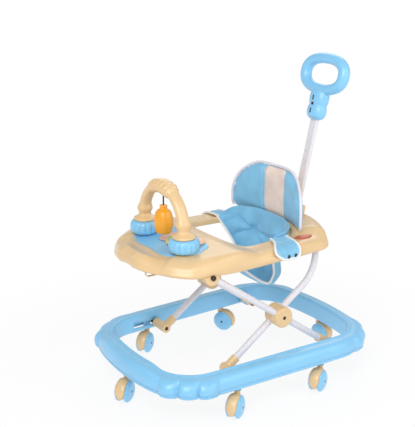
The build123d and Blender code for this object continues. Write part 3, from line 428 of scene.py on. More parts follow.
def place(piece: Piece, body: str, slot: str, *nodes: str) -> Piece:
    """Tie a finished piece to its body and hide the nodes that it stands for.

    Args:
        piece: the finished piece.
        body: the body that it rides on.
        slot: not used.
        nodes: CAD nodes that it replaces.

    Returns:
        The piece.
    """
    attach(piece, body)
    if nodes:
        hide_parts(*nodes)
    LOG.info("%s: %d faces on %s", piece.name, len(piece.data.polygons), body)
    return piece


class Nodes:
    """A node tree while it is being wired."""

    def __init__(self, tree: bpy.types.NodeTree) -> None:
        """Take up a tree."""
        self.tree = tree

    def feed(self, source: object, socket: Socket) -> None:
        """Link an output to an input, or set the input's value.

        Args:
            source: an output or a value.
            socket: the input.
        """
        if isinstance(source, Socket):
            self.tree.links.new(source, socket)
        else:
            socket.default_value = source

    def add(self, kind: str, inputs: dict | None = None, **values: object) -> bpy.types.Node:
        """New node with its properties set and its inputs linked or given.

        Args:
            kind: the node's type.
            inputs: outputs or values for its inputs, by name or number.
            values: its properties.

        Returns:
            The node.
        """
        node = self.tree.nodes.new(kind)
        for key, value in values.items():
            setattr(node, key, value)
        for key, value in (inputs or {}).items():
            self.feed(value, node.inputs[key])
        return node


class NodeSheet(Nodes):
    """A material's node tree, with its shader and the piece's own coordinates."""

    def __init__(self, name: str) -> None:
        """Start an empty material.

        Args:
            name: the material's name.
        """
        self.material = bpy.data.materials.new(name)
        self.material.use_nodes = True
        super().__init__(self.material.node_tree)
        self.shader = self.tree.nodes["Principled BSDF"]
        self.coords = self.add("ShaderNodeTexCoord").outputs["Object"]

    def noise(self, scale: float, detail: float = 2.0) -> Socket:
        """Noise over the piece, 0 to 1."""
        inputs = {"Vector": self.coords, "Scale": scale, "Detail": detail}
        return self.add("ShaderNodeTexNoise", inputs).outputs["Fac"]

    def bands(self, scale: float, way: str, sway: float) -> Socket:
        """Swaying bands over the piece that follow each other along an axis, 0 to 1."""
        inputs = {"Vector": self.coords, "Scale": scale, "Distortion": sway}
        return self.add("ShaderNodeTexWave", inputs, wave_type="BANDS", bands_direction=way).outputs["Fac"]

    def ramp(self, source: Socket, stops: Stops) -> Socket:
        """Colour ramp of a value.

        Args:
            source: the value.
            stops: place and colour of each stop.

        Returns:
            The colour.
        """
        node = self.add("ShaderNodeValToRGB", {"Fac": source})
        for element, (position, colour) in zip(node.color_ramp.elements, stops):
            element.position = position
            element.color = (*colour, 1.0)
        return node.outputs["Color"]

    def span(self, source: Socket, low: float, high: float) -> Socket:
        """Map 0 to 1 onto low to high."""
        inputs = {"Value": source, "To Min": low, "To Max": high}
        return self.add("ShaderNodeMapRange", inputs).outputs["Result"]

    def maths(self, operation: str, first: object, second: object = 0.0) -> Socket:
        """One sum of two values."""
        return self.add("ShaderNodeMath", {0: first, 1: second}, operation=operation).outputs[0]

    def mix(self, share: object, *colours: Socket) -> Socket:
        """Mix of two colours, by how much of the second one shows."""
        inputs = {0: share, **dict(zip(MIX_COLOURS, colours))}
        return self.add("ShaderNodeMix", inputs, data_type="RGBA").outputs[2]

    def set(self, socket: str, value: object) -> None:
        """Set or link one of the shader's own sockets."""
        self.feed(value, self.shader.inputs[socket])

    def bump(self, height: Socket, strength: float, distance: float) -> None:
        """Roughen the surface by a height, on top of any earlier one.

        Args:
            height: the height, 0 to 1.
            strength: how much of it shows.
            distance: the height in metres that 1 stands for.
        """
        inputs = {"Strength": strength, "Distance": distance, "Height": height}
        earlier = self.shader.inputs["Normal"].links
        if earlier:
            inputs["Normal"] = earlier[0].from_socket
        self.set("Normal", self.add("ShaderNodeBump", inputs).outputs["Normal"])


def shaded(colour: Colour, factor: float) -> Colour:
    """A colour made darker or lighter by a factor."""
    return tuple(min(1.0, channel * factor) for channel in colour)


def tones(tint: Tint, places: Pair, factors: Pair) -> Stops:
    """Ramp stops of a tint, each at its place and with its own factor."""
    return [(spot, shaded(tint.value, factor)) for spot, factor in zip(places, factors)]


@dataclass(frozen=True)
class Finish:
    """A finish whose material is made once, at its first use."""

    name: str
    tint: Tint

    def __call__(self) -> Material:
        """The finished material.

        Returns:
            The material, made at the first call.
        """
        made = bpy.data.materials.get(self.name)
        if made:
            return made
        sheet = NodeSheet(self.name)
        self.wire(sheet)
        return sheet.material

    def wire(self, sheet: NodeSheet) -> None:
        """Wire the finish's own nodes."""
        raise NotImplementedError


@dataclass(frozen=True)
class MouldedPlastic(Finish):
    """Glossy moulded plastic with faint flow marks and a fine skin."""

    roughness: float = 0.30
    mottle: float = 0.03
    flow_scale: float = 14.0
    flow_detail: float = 4.0
    flow_stops: Pair = (0.3, 0.7)
    wear_scale: float = 60.0
    wear_span: Pair = (-0.015, 0.04)
    coat: float = 0.50
    coat_roughness: float = 0.28
    skin_scale: float = 700.0
    skin_bump: Pair = (0.012, 0.0001)
    wave_scale: float = 9.0
    wave_detail: float = 1.0
    wave_bump: Pair = (0.03, 0.003)

    def wire(self, sheet: NodeSheet) -> None:
        """Wire the tint, the wear, the clear skin and its two bumps.

        Args:
            sheet: the material being wired.
        """
        flow = sheet.noise(self.flow_scale, self.flow_detail)
        stops = tones(self.tint, self.flow_stops, (1.0 - self.mottle, 1.0 + self.mottle))
        sheet.set("Base Color", sheet.ramp(flow, stops))
        low, high = (self.roughness + step for step in self.wear_span)
        sheet.set("Roughness", sheet.span(sheet.noise(self.wear_scale), low, high))
        sheet.set("Coat Weight", self.coat)
        sheet.set("Coat Roughness", self.coat_roughness)
        sheet.bump(sheet.noise(self.skin_scale), *self.skin_bump)
        sheet.bump(sheet.noise(self.wave_scale, self.wave_detail), *self.wave_bump)


@dataclass(frozen=True)
class CoatedMetal(Finish):
    """Powder-coated or blackened metal with fine specks and rubbed streaks."""

    roughness: float
    metallic: float
    streak: float = 0.06
    speck_scale: float = 240.0
    speck_detail: float = 3.0
    speck_stops: Pair = (0.35, 0.65)
    wear_scale: float = 35.0
    wear_span: Pair = (-0.06, 0.1)
    grain_scale: float = 1500.0
    grain_bump: Pair = (0.10, 0.0001)

    def wire(self, sheet: NodeSheet) -> None:
        """Wire the specks, the wear and the grain.

        Args:
            sheet: the material being wired.
        """
        specks = sheet.noise(self.speck_scale, self.speck_detail)
        stops = tones(self.tint, self.speck_stops, (1.0 - self.streak, 1.0 + self.streak))
        sheet.set("Base Color", sheet.ramp(specks, stops))
        low, high = (self.roughness + step for step in self.wear_span)
        sheet.set("Roughness", sheet.span(sheet.noise(self.wear_scale), low, high))
        sheet.set("Metallic", self.metallic)
        sheet.bump(sheet.noise(self.grain_scale), *self.grain_bump)


@dataclass(frozen=True)
class WovenCloth(Finish):
    """Plain woven polyester with threads painted lighter on their crowns and darker between them as painted
    shade, a random mottle and faint creases.
    """

    thread: float = 0.0010
    sheen: float = 0.30
    crease: float = 0.25
    panel_tint: Tint | None = None
    panel_half: float = 0.0
    thread_sway: float = 0.4
    # Share of the weave that goes into the colour as painted shade and highlight.
    thread_shade_share: float = 0.35
    weave_bump: Pair = (0.35, 0.0003)
    mottle_scale: float = 22.0
    mottle_detail: float = 5.0
    # Ramp places and factors for the painted thread shade (darker at 0.80, painted highlight at 1.12) and
    # the random mottle.
    shade_and_mottle_stops: Pair = (0.25, 0.85)
    shade_and_mottle_factors: Pair = (0.80, 1.12)
    roughness: float = 0.85
    sheen_roughness: float = 0.45
    crease_scale: float = 28.0
    crease_detail: float = 4.0
    crease_depth: float = 0.006

    def wire(self, sheet: NodeSheet) -> None:
        """Wire the threads' painted shade and highlight with a random mottle, the centre panel where there
        is one, the sheen and the creases.

        Args:
            sheet: the material being wired.
        """
        scale = 2.0 * math.pi / (BAND_FACTOR * self.thread)
        warp, weft = (sheet.bands(scale, way, self.thread_sway) for way in ("X", "Z"))
        weave = sheet.maths("MULTIPLY", warp, weft)
        # Painted shade and highlight: darker between threads, lighter on their crowns, added to a random
        # mottle.
        threads = sheet.maths("MULTIPLY", weave, self.thread_shade_share)
        shade = sheet.maths("ADD", threads, sheet.noise(self.mottle_scale, self.mottle_detail))
        colour = sheet.ramp(shade, tones(self.tint, self.shade_and_mottle_stops, self.shade_and_mottle_factors))
        if self.panel_tint:
            split = sheet.add("ShaderNodeSeparateXYZ")
            sheet.feed(sheet.coords, split.inputs[0])
            inside = sheet.maths("LESS_THAN", sheet.maths("ABSOLUTE", split.outputs["X"]), self.panel_half)
            panel = sheet.ramp(shade, tones(self.panel_tint, self.shade_and_mottle_stops, self.shade_and_mottle_factors))
            colour = sheet.mix(inside, colour, panel)
        sheet.set("Base Color", colour)
        sheet.set("Roughness", self.roughness)
        sheet.set("Sheen Weight", self.sheen)
        sheet.set("Sheen Roughness", self.sheen_roughness)
        sheet.bump(sheet.noise(self.crease_scale, self.crease_detail), self.crease, self.crease_depth)
        sheet.bump(weave, *self.weave_bump)


SKY = MouldedPlastic("sky_moulded", Tint.SKY)
CREAM = MouldedPlastic("cream_moulded", Tint.CREAM, roughness=0.32)
ORANGE = MouldedPlastic("orange_moulded", Tint.ORANGE)
YELLOW = MouldedPlastic("yellow_moulded", Tint.YELLOW)
GREEN = MouldedPlastic("green_moulded", Tint.GREEN)
PEACH = MouldedPlastic("peach_moulded", Tint.PEACH, roughness=0.45)
ROSE = MouldedPlastic("rose_moulded", Tint.ROSE, roughness=0.45)
RED = MouldedPlastic("red_moulded", Tint.RED, roughness=0.40)
TUBE = CoatedMetal("powder_coated_tube", Tint.TUBE, roughness=0.36, metallic=0.0)
STEEL = CoatedMetal("blackened_steel", Tint.STEEL, roughness=0.42, metallic=0.7)
SEAT = WovenCloth("seat_cloth", Tint.SEAT)
BACK = WovenCloth("backrest_cloth", Tint.SEAT, panel_tint=Tint.PANEL, panel_half=0.038)
PIPING = WovenCloth("piping_tape", Tint.PIPING, thread=0.0006, crease=0.1)


class GeometryTree(Nodes):
    """A Geometry Nodes tree built from named inputs, run on one object and turned into a plain mesh."""

    def __init__(self, name: str, sizes: dict[str, float]) -> None:
        """Start a tree with a geometry input, named size inputs and a material input.

        Args:
            name: the tree's name.
            sizes: names and usual values of its size inputs.
        """
        super().__init__(bpy.data.node_groups.new(name, "GeometryNodeTree"))
        face = self.tree.interface
        face.new_socket("Geometry", in_out="INPUT", socket_type="NodeSocketGeometry")
        for key, value in sizes.items():
            face.new_socket(key, in_out="INPUT", socket_type="NodeSocketFloat").default_value = value
        face.new_socket("Material", in_out="INPUT", socket_type="NodeSocketMaterial")
        face.new_socket("Geometry", in_out="OUTPUT", socket_type="NodeSocketGeometry")
        self.source = self.add("NodeGroupInput")
        self.result = self.add("NodeGroupOutput")

    def close(self, geometry: Socket) -> None:
        """End the tree in realized instances with the material set.

        Args:
            geometry: what the tree has made.
        """
        real = self.add("GeometryNodeRealizeInstances", {"Geometry": geometry})
        inputs = {"Geometry": real.outputs[0], "Material": self.source.outputs["Material"]}
        self.feed(self.add("GeometryNodeSetMaterial", inputs).outputs[0], self.result.inputs[0])

    def run(
        self, name: str, carrier: Piece, finish: Material, sizes: dict[str, float]
    ) -> Piece:
        """Run the tree on a carrier, which is removed, and keep the result.

        Args:
            name: the new piece's name.
            carrier: the object whose geometry the tree works on.
            finish: the material.
            sizes: values for the named inputs.

        Returns:
            The new piece.
        """
        modifier = carrier.modifiers.new("tree", "NODES")
        modifier.node_group = self.tree
        for item in self.tree.interface.items_tree:
            if item.in_out == "INPUT" and item.name in sizes:
                modifier[item.identifier] = sizes[item.name]
            if item.in_out == "INPUT" and item.name == "Material":
                modifier[item.identifier] = finish
        graph = bpy.context.evaluated_depsgraph_get()
        mesh = bpy.data.meshes.new_from_object(carrier.evaluated_get(graph))
        bpy.data.objects.remove(carrier)
        return link_mesh(name, mesh)


@dataclass
class Haberdashery:
    """Piping, stitches and snaps that follow the cover's seams."""

    cord_radius: float = 0.003
    cord_sides: int = 10
    stitch_pitch: float = 0.005
    thread_radius: float = 0.0005
    thread_stretch: float = 3.4
    thread_facets: tuple[int, int] = (6, 5)
    dome_radius: float = 0.0045
    dome_rise: float = 0.5
    dome_facets: tuple[int, int] = (20, 12)
    spot_ahead: Point = (0.1, 0.9, 0.3)
    spot_corners: tuple[Point, ...] = ((1e-5, 0.0, 0.0), (-5e-6, 8e-6, 0.0), (-5e-6, -8e-6, 0.0))

    def __post_init__(self) -> None:
        """Build the three trees once."""
        self.piping = self.piping_tree()
        self.stitches = self.stitch_tree()
        self.domes = self.dome_tree()

    @staticmethod
    def ball(tree: GeometryTree, facets: tuple[int, int], scale: object) -> Socket:
        """Ball of the tree's radius, stretched.

        Args:
            tree: the tree that it is added to.
            facets: segments and rings.
            scale: stretch along each axis, as a value or a socket.

        Returns:
            The ball's geometry.
        """
        segments, rings = facets
        sizes = {"Segments": segments, "Rings": rings, "Radius": tree.source.outputs["Radius"]}
        plain = tree.add("GeometryNodeMeshUVSphere", sizes)
        shaped = tree.add("GeometryNodeTransform", {"Geometry": plain.outputs[0], "Scale": scale})
        return shaped.outputs[0]

    @staticmethod
    def spread(
        tree: GeometryTree, points: Socket, piece: Socket, way: str
    ) -> Socket:
        """Set a piece on every point, with its Z turned along the points' own way.

        Args:
            tree: the tree that it is added to.
            points: where the pieces go.
            piece: the geometry to repeat.
            way: kind of the node that gives each point's way.

        Returns:
            The instances.
        """
        facing = {"Vector": tree.add(way).outputs[0]}
        turn = tree.add("FunctionNodeAlignRotationToVector", facing, axis="Z")
        inputs = {"Points": points, "Instance": piece, "Rotation": turn.outputs[0]}
        return tree.add("GeometryNodeInstanceOnPoints", inputs).outputs[0]

    def piping_tree(self) -> GeometryTree:
        """Tree that turns a path into a round cord of tape.

        Returns:
            The tree.
        """
        tree = GeometryTree("piping", {"Radius": self.cord_radius})
        sizes = {"Resolution": self.cord_sides, "Radius": tree.source.outputs["Radius"]}
        ring = tree.add("GeometryNodeCurvePrimitiveCircle", sizes)
        cord = tree.add(
            "GeometryNodeCurveToMesh",
            {"Curve": tree.source.outputs[0], "Profile Curve": ring.outputs[0], "Fill Caps": True},
        )
        tree.close(cord.outputs[0])
        return tree

    def stitch_tree(self) -> GeometryTree:
        """Tree that sets short threads end to end along a path.

        Returns:
            The tree.
        """
        tree = GeometryTree("stitches", {"Pitch": self.stitch_pitch, "Radius": self.thread_radius})
        dots = tree.add(
            "GeometryNodeResampleCurve",
            {"Curve": tree.source.outputs[0], "Length": tree.source.outputs["Pitch"]},
            mode="LENGTH",
        )
        thread = self.ball(tree, self.thread_facets, (1.0, 1.0, self.thread_stretch))
        tree.close(self.spread(tree, dots.outputs[0], thread, "GeometryNodeInputTangent"))
        return tree

    def dome_tree(self) -> GeometryTree:
        """Tree that sets a low dome on each point, standing on the point's normal.

        Returns:
            The tree.
        """
        tree = GeometryTree("domes", {"Radius": self.dome_radius, "Rise": self.dome_rise})
        stretch = tree.add("ShaderNodeCombineXYZ", {"X": 1.0, "Y": 1.0, "Z": tree.source.outputs["Rise"]})
        dome = self.ball(tree, self.dome_facets, stretch.outputs[0])
        tree.close(self.spread(tree, tree.source.outputs[0], dome, "GeometryNodeInputNormal"))
        return tree

    @staticmethod
    def path(points: Array) -> Piece:
        """Open curve object through points.

        Args:
            points: the points, in order.

        Returns:
            The curve object.
        """
        curve = bpy.data.curves.new("path", "CURVE")
        curve.dimensions = "3D"
        spline = curve.splines.new("POLY")
        spline.points.add(len(points) - 1)
        spline.points.foreach_set("co", np.c_[points, np.ones(len(points))].ravel())
        obj = bpy.data.objects.new("path", curve)
        bpy.context.scene.collection.objects.link(obj)
        return obj

    def pipe(
        self, name: str, points: Array, radius: float, finish: Material
    ) -> Piece:
        """Cord of tape along points."""
        return self.piping.run(name, self.path(points), finish, {"Radius": radius})

    def sew(self, name: str, points: Array, finish: Material) -> Piece:
        """Row of stitches along points."""
        return self.stitches.run(name, self.path(points), finish, {"Pitch": self.stitch_pitch})

    def stud(
        self,
        name: str,
        spots: Sequence[tuple[Point, Point]],
        radius: float,
        rise: float,
        finish: Material,
    ) -> Piece:
        """Low domes at spots.

        Args:
            name: the new piece's name.
            spots: each a place and the way that it faces.
            radius: the domes' radius.
            rise: their height as a share of the radius.
            finish: the material.

        Returns:
            The domes as one piece.
        """
        corners, faces = [], []
        for spot, way in spots:
            axes = Axes(spot, way, self.spot_ahead)
            faces.append(tuple(range(len(corners), len(corners) + 3)))
            corners.extend(axes.points(np.array(self.spot_corners)))
        mesh = bpy.data.meshes.new("spots")
        mesh.from_pydata([tuple(c) for c in corners], [], faces)
        carrier = link_mesh("spots", mesh)
        return self.domes.run(name, carrier, finish, {"Radius": radius, "Rise": rise})


class NodeProbe:
    """Finds where level rays meet a CAD node."""

    def __init__(self, node: Piece) -> None:
        """Read the node's surface."""
        mesh = node.data
        self.tree = BVHTree.FromPolygons([v.co for v in mesh.vertices], [p.vertices for p in mesh.polygons])

    def inside(self, angle: float, height: float) -> float:
        """Distance from the upright axis to the first surface along a level ray.

        Args:
            angle: the ray's direction, in radians from +X.
            height: its level.

        Returns:
            The distance.
        """
        way = Vector((math.cos(angle), math.sin(angle), 0.0))
        hit = self.tree.ray_cast(Vector((0.0, 0.0, height)), way)[0]
        return math.hypot(hit.x, hit.y)

    def outside(self, angle: float, heights: Sequence[float], reach: float = 0.6) -> float:
        """Distance from the upright axis to the outermost surface along level rays.

        Args:
            angle: the rays' direction, in radians from +X.
            heights: the levels to try.
            reach: how far outside the rays start.

        Returns:
            The largest distance from the axis.
        """
        way = Vector((math.cos(angle), math.sin(angle), 0.0))
        hits = [self.tree.ray_cast(way * reach + Vector((0.0, 0.0, z)), -way)[0] for z in heights]
        return max(hit.dot(way) for hit in hits if hit)


@dataclass(frozen=True)
class TrayShell:
    """The cream tray: a sloping toy deck, side rails round the seat opening and a rear deck."""

    top: float = 0.374
    break_y: float = -0.095
    slope: float = math.tan(math.radians(6.6))
    low: float = 0.328
    keel_y: float = -0.195
    keel_slope: float = 0.050
    skirt: float = 0.030
    wall: float = 0.003
    lip: float = 0.001
    edge_wide: float = 0.015
    edge_deep: float = 0.013
    edge_turns: Floats = (15.0, 30.0, 45.0, 60.0, 75.0, 90.0)
    side_shares: Floats = (0.2, 0.4, 0.6, 0.8)
    side_swell: float = 0.0035
    least_wall: float = 0.022
    brim_drop: float = 0.005
    bead: float = 0.0016
    bead_rows: Profile = ((0.0012, 0.6), (0.004, 1.0), (0.009, 0.6))
    bead_end: float = 0.013
    rail_drop: float = 0.016
    rail_fade: Pair = (0.005, 0.070)
    hump_half: float = 0.104
    hump_y: float = 0.138
    hump_fade: float = 0.030
    corner_bearings: Floats = (-57.0, -123.0, 52.0, 128.0)
    corner_wide: Floats = (0.046, 0.046, 0.024, 0.024)
    corner_deep: Floats = (0.013, 0.013, 0.007, 0.007)
    corner_pull: Floats = (0.034, 0.034, 0.004, 0.004)
    corner_spread: float = 16.0
    nose_start: float = -0.232
    nose_full: float = -0.272
    nose_rise: float = 0.014
    bulge_x: float = 0.132
    bulge_y: float = -0.214
    bulge_spread: float = 0.030
    bulge_rise: float = 0.007
    post_x: float = 0.086
    post_y: float = -0.180
    post_rise: float = 0.3672
    post_radius: float = 0.021
    post_foot: float = 1.35
    columns: int = 256
    deck_rows: int = 26
    probe_levels: int = 12

    def deck(self, x: Array, y: Array) -> Array:
        """Height of the deck, with its raised nose, front bulges and roller posts.

        Args:
            x: places across.
            y: places along, the front being negative.

        Returns:
            The height at each place.
        """
        height = self.top - np.maximum(0.0, self.break_y - y) * self.slope
        height = height + self.nose_rise * smoothstep(-self.nose_start, -self.nose_full, -y)
        hump = 1.0 - smoothstep(self.hump_half, self.hump_half + self.hump_fade, np.abs(x))
        hump = hump * smoothstep(self.hump_y - self.hump_fade, self.hump_y, y)
        start, end = (self.break_y + step for step in self.rail_fade)
        height = height - self.rail_drop * smoothstep(start, end, y) * (1.0 - hump)
        for side in Side:
            away = np.hypot(x - side.value * self.bulge_x, y - self.bulge_y)
            height = height + self.bulge_rise * bell(away, self.bulge_spread)
            post = np.hypot(x - side.value * self.post_x, y - self.post_y)
            share = 1.0 - smoothstep(self.post_radius, self.post_radius * self.post_foot, post)
            height = height + (np.maximum(height, self.post_rise) - height) * share
        return height

    def keel(self, y: Array, rim: Array) -> Array:
        """Height of the lower edge, which rises to the front lip."""
        low = self.low + np.maximum(0.0, self.keel_y - y) * self.keel_slope
        return np.minimum(low, rim - self.least_wall)

    def build(self, node: Piece) -> Piece:
        """Build the shell between the outlines of the CAD node.

        Args:
            node: the CAD tray shell.

        Returns:
            The dressed shell.
        """
        probe = NodeProbe(node)
        angles = circle(self.columns)
        levels = np.linspace(self.low + self.wall, self.top - self.wall, self.probe_levels)
        inner = np.array([probe.inside(a, self.top - self.skirt / 2) for a in angles])
        outer = np.array([probe.outside(a, levels) for a in angles])
        way = np.stack([np.cos(angles), np.sin(angles)])

        def ring(radius: Array, height: Array | None = None, lift: float = 0.0) -> Array:
            """One ring of points at radius, on the deck or at a height."""
            x, y = way * radius
            return np.stack([x, y, (self.deck(x, y) if height is None else height) + lift], axis=-1)

        skirt_low = np.full(self.columns, self.top - self.skirt)
        rows = [ring(inner, skirt_low), ring(inner, None, -self.brim_drop)]
        rows += [ring(inner + out, None, self.bead * share) for out, share in self.bead_rows]
        bearing = np.degrees(np.angle(np.exp(1j * angles)))
        corners = [bell(bearing - middle, self.corner_spread) for middle in self.corner_bearings]
        wide = self.edge_wide + sum(corner * more for corner, more in zip(corners, self.corner_wide))
        deep = self.edge_deep + sum(corner * more for corner, more in zip(corners, self.corner_deep))
        outer = outer - sum(corner * less for corner, less in zip(corners, self.corner_pull))
        start, end = inner + self.bead_end, outer - wide
        shares = np.linspace(0.0, 1.0, self.deck_rows)
        rows += [ring(start + (end - start) * share) for share in shares]
        rim = ring(end)[:, 2]
        for turn in np.radians(self.edge_turns):
            rows.append(ring(end + wide * math.sin(turn), rim - deep * (1 - math.cos(turn))))
        side_top = rim - deep
        low = self.keel(rows[-1][:, 1], rim)
        for share in self.side_shares:
            swell = self.side_swell * math.sin(math.pi * share)
            rows.append(ring(outer + swell, side_top + (low - side_top) * share))
        rows += [ring(outer, low + self.lip), ring(outer - self.lip, low), ring(outer - self.wall, low)]
        rows += [ring(outer - self.wall - self.lip, low + 2 * self.lip)]
        rows += [ring(outer - 2 * self.wall, side_top)]
        rows += [ring(start + (end - start) * share, None, -self.wall) for share in shares[::-1]]
        rows += [ring(inner + self.wall, None, -2 * self.wall), ring(inner + self.wall, skirt_low)]
        shell = grid_object("tray_shell_moulding", np.array(rows), wrap_rows=True)
        return dress(subdivide(shell), CREAM())


@dataclass(frozen=True)
class RodTracks:
    """The two slotted tracks under the toy deck that the top rod slides in."""

    height: float = 0.326
    slot_half: float = 0.0066
    rim: float = 0.0018
    room: float = 0.014
    wall: float = 0.005
    web_tops: Pair = (0.350, 0.363)
    bend_points: int = 25

    def build(self) -> None:
        """Make and place both tracks, each a slim loop below a web."""
        low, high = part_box("rod_tracks")
        front, rear = low.y + self.room, high.y - self.room
        turns = np.linspace(math.pi / 2, 3 * math.pi / 2, self.bend_points)
        bend = np.concatenate([np.stack([np.cos(t), np.sin(t)], axis=-1) for t in (turns, turns + math.pi)])
        middle = np.repeat([front, rear], len(turns))
        base = self.height + self.slot_half
        corners = [(front, base), (rear, base), (rear, self.web_tops[1]), (front, self.web_tops[0])]
        pieces = []
        for side in Side:
            faces = (side.value * high.x, side.value * (high.x - self.wall))
            rows = []
            for x, share in zip((*faces, *faces[::-1]), (1.0, 1.0, 0.0, 0.0)):
                loop = bend * (share * self.rim + self.slot_half)
                across = np.full(len(bend), x)
                rows.append(np.stack([across, middle + loop[:, 0], self.height + loop[:, 1]], axis=-1))
            pieces.append(grid_object("loop", np.array(rows), wrap_rows=True))
            web = [(x, *corner) for x in faces for corner in corners]
            pieces.append(mesh_object("web", web, BOX_FACES))
        place(dress(merge("rod_track_loops", pieces), CREAM()), "tray", "cream_plastic", "rod_tracks")


@dataclass(frozen=True)
class DeckFrame:
    """The sloping toy deck as a plane: x across, along towards the front, lift off the deck."""

    break_y: float = -0.095
    top: float = 0.374
    slope: float = math.radians(6.6)

    def at(self, x: float, along: float, lift: float = 0.0) -> Point:
        """Point on the deck."""
        c, s = math.cos(self.slope), math.sin(self.slope)
        return (x, self.break_y - along * c - lift * s, self.top - along * s + lift * c)

    def up(self) -> Point:
        """The deck's upward normal."""
        return (0.0, -math.sin(self.slope), math.cos(self.slope))


@dataclass(frozen=True)
class ToyDeck:
    """Toy panel, arch, rollers, hanging toy, knob and button."""

    deck: DeckFrame = DeckFrame()
    seat_lift: float = 0.0043
    arch_half: float = 0.086
    arch_y: float = -0.180
    arch_centre_z: float = 0.414
    arch_turns: int = 121
    leg_steps: int = 12
    collar_low: float = 0.4003
    collar_radius: float = 0.0255
    collar_fade: Pair = (0.003, 0.015)
    band_wide: float = 0.0140
    band_thick: float = 0.0102
    band_power: float = 0.82
    band_points: int = 40
    swell_wide: float = 0.0190
    swell_thick: float = 0.0150
    swell_angle: float = math.radians(31.0)
    swell_full: float = 0.72
    rib_count: int = 7
    rib_depth: float = 0.0013
    knuckle: float = 0.0042
    knuckle_rise: float = 0.029
    knuckle_spread: float = 0.009
    roller_radius: float = 0.0352
    roller_face: float = 0.0215
    roller_bore: float = 0.0072
    roller_power: float = 2.6
    roller_low: float = 0.368
    roller_height: float = 0.032
    roller_levels: int = 25
    roller_points: int = 168
    flutes: int = 14
    flute_depth: float = 0.085
    flute_middle: float = 13.0
    flute_reach: float = 11.0
    flute_ease: float = 0.6
    flute_sharp: int = 5
    toy_rows: Profile = (
        (0.0, 1.0), (0.30, 1.0), (0.37, 0.985), (0.39, 0.965), (0.39, 0.935), (0.36, 0.915), (0.355, 0.885),
        (0.40, 0.865), (0.62, 0.815), (0.80, 0.735), (0.92, 0.62), (0.985, 0.48), (1.0, 0.38), (0.965, 0.25),
        (0.88, 0.12), (0.80, 0.045), (0.72, 0.012), (0.60, 0.0), (0.0, 0.0),
    )
    toy_rings: int = 60
    toy_points: int = 96
    toy_panels: int = 6
    toy_panel_depth: float = 0.05
    toy_belly: float = 38.0
    toy_belly_spread: float = 11.0
    panel_half: float = 0.112
    panel_front: float = 0.128
    panel_rear: float = 0.012
    panel_power: float = 0.62
    panel_points: int = 180
    scallops: int = 10
    scallop_depth: float = 0.05
    panel_rows: Profile = (
        (1.0, -0.0030), (1.0, 0.0022), (0.992, 0.0036), (0.975, 0.004), (0.93, 0.004),
        (0.90, 0.0032), (0.6, 0.0032), (0.3, 0.0032), (0.0, 0.0032),
    )
    pad_place: Pair = (-0.012, 0.060)
    pad_lift: float = 0.0034
    pad_rows: Profile = (
        (0.0, 0.0), (0.026, 0.0), (0.0275, 0.0018), (0.026, 0.0036), (0.018, 0.0050), (0.009, 0.0056),
        (0.0, 0.0058),
    )
    pad_points: int = 100
    pad_lobes: int = 5
    pad_groove: float = 0.10
    knob_place: Pair = (0.024, 0.076)
    knob_rows: Profile = (
        (0.0, 0.0), (0.0150, 0.0), (0.0160, 0.0010), (0.0160, 0.0080), (0.0148, 0.0098), (0.0, 0.0100),
    )
    knob_points: int = 96
    knob_grips: int = 12
    knob_groove: float = 0.06
    cap_rows: Profile = (
        (0.0, 0.0098), (0.0098, 0.0098), (0.0100, 0.0125), (0.0092, 0.0145), (0.0066, 0.0157), (0.0, 0.0160),
    )
    cap_points: int = 48
    button_place: Pair = (0.066, 0.034)
    button_rise: float = 0.0110
    button_travel: float = 0.0040
    button_rows: Profile = (
        (0.0, 0.0), (0.0165, 0.0), (0.0170, 0.0010), (0.0162, 0.0022), (0.0168, 0.0032), (0.0158, 0.0048),
        (0.0140, 0.0066), (0.0108, 0.0088), (0.0066, 0.0103), (0.0030, 0.0109), (0.0, 0.0110),
    )

    def seat(self, spot: Pair, lift: float) -> Axes:
        """Axes of a piece that stands on the deck."""
        return Axes(self.deck.at(*spot, lift), self.deck.up())

    def arch(self) -> Piece:
        """Flat-sided arch that flares into its collars and swells, ribbed, at the top.

        Returns:
            The dressed arch.
        """
        quarter = math.pi / 2
        drops = np.linspace(self.collar_low - self.arch_centre_z, 0.0, self.leg_steps)[:-1]
        stations = [(-quarter, drop) for drop in drops]
        stations += [(turn, 0.0) for turn in np.linspace(-quarter, quarter, self.arch_turns)]
        stations += [(quarter, drop) for drop in drops[::-1]]
        loop = circle(self.band_points)
        across, deep = eased(np.cos(loop), self.band_power), eased(np.sin(loop), self.band_power)
        rows = []
        for turn, drop in stations:
            out = np.array([math.sin(turn), 0.0, math.cos(turn)])
            centre = np.array([0.0, self.arch_y, self.arch_centre_z + drop]) + self.arch_half * out
            rise = centre[2] - self.collar_low
            flare = float(1.0 - smoothstep(*self.collar_fade, rise))
            knuckle = self.knuckle * bell(rise - self.knuckle_rise, self.knuckle_spread)
            swell = float(1.0 - smoothstep(self.swell_angle * self.swell_full, self.swell_angle, abs(turn)))
            ribs = self.rib_depth * math.cos(abs(turn) / self.swell_angle * self.rib_count * math.pi) * swell
            wide = self.band_wide + (self.swell_wide - self.band_wide) * swell + ribs
            thick = self.band_thick + (self.swell_thick - self.band_thick) * swell + ribs
            wide += (self.collar_radius - self.band_wide) * flare + knuckle
            thick += (self.collar_radius - self.band_thick) * flare + knuckle
            rows.append(centre + np.outer(across * wide, [0, 1, 0]) + np.outer(deep * thick, out))
        return dress(subdivide(grid_object("toy_arch_moulding", capped(rows))), CREAM())

    def roller(self, side: Side) -> Piece:
        """Squashed drum with soft flutes round its belly.

        Args:
            side: which of the two rollers.

        Returns:
            The dressed roller.
        """
        half, bore, power = self.roller_height / 2, self.roller_bore, self.roller_power
        levels = np.sin(np.linspace(-math.pi / 2, math.pi / 2, self.roller_levels))
        swell = (1.0 - np.abs(levels) ** power) ** (1 / power)
        belly = self.roller_face + (self.roller_radius - self.roller_face) * swell
        profile = [(bore, -half), *zip(belly, levels * half), (bore, half), (bore, -half)]

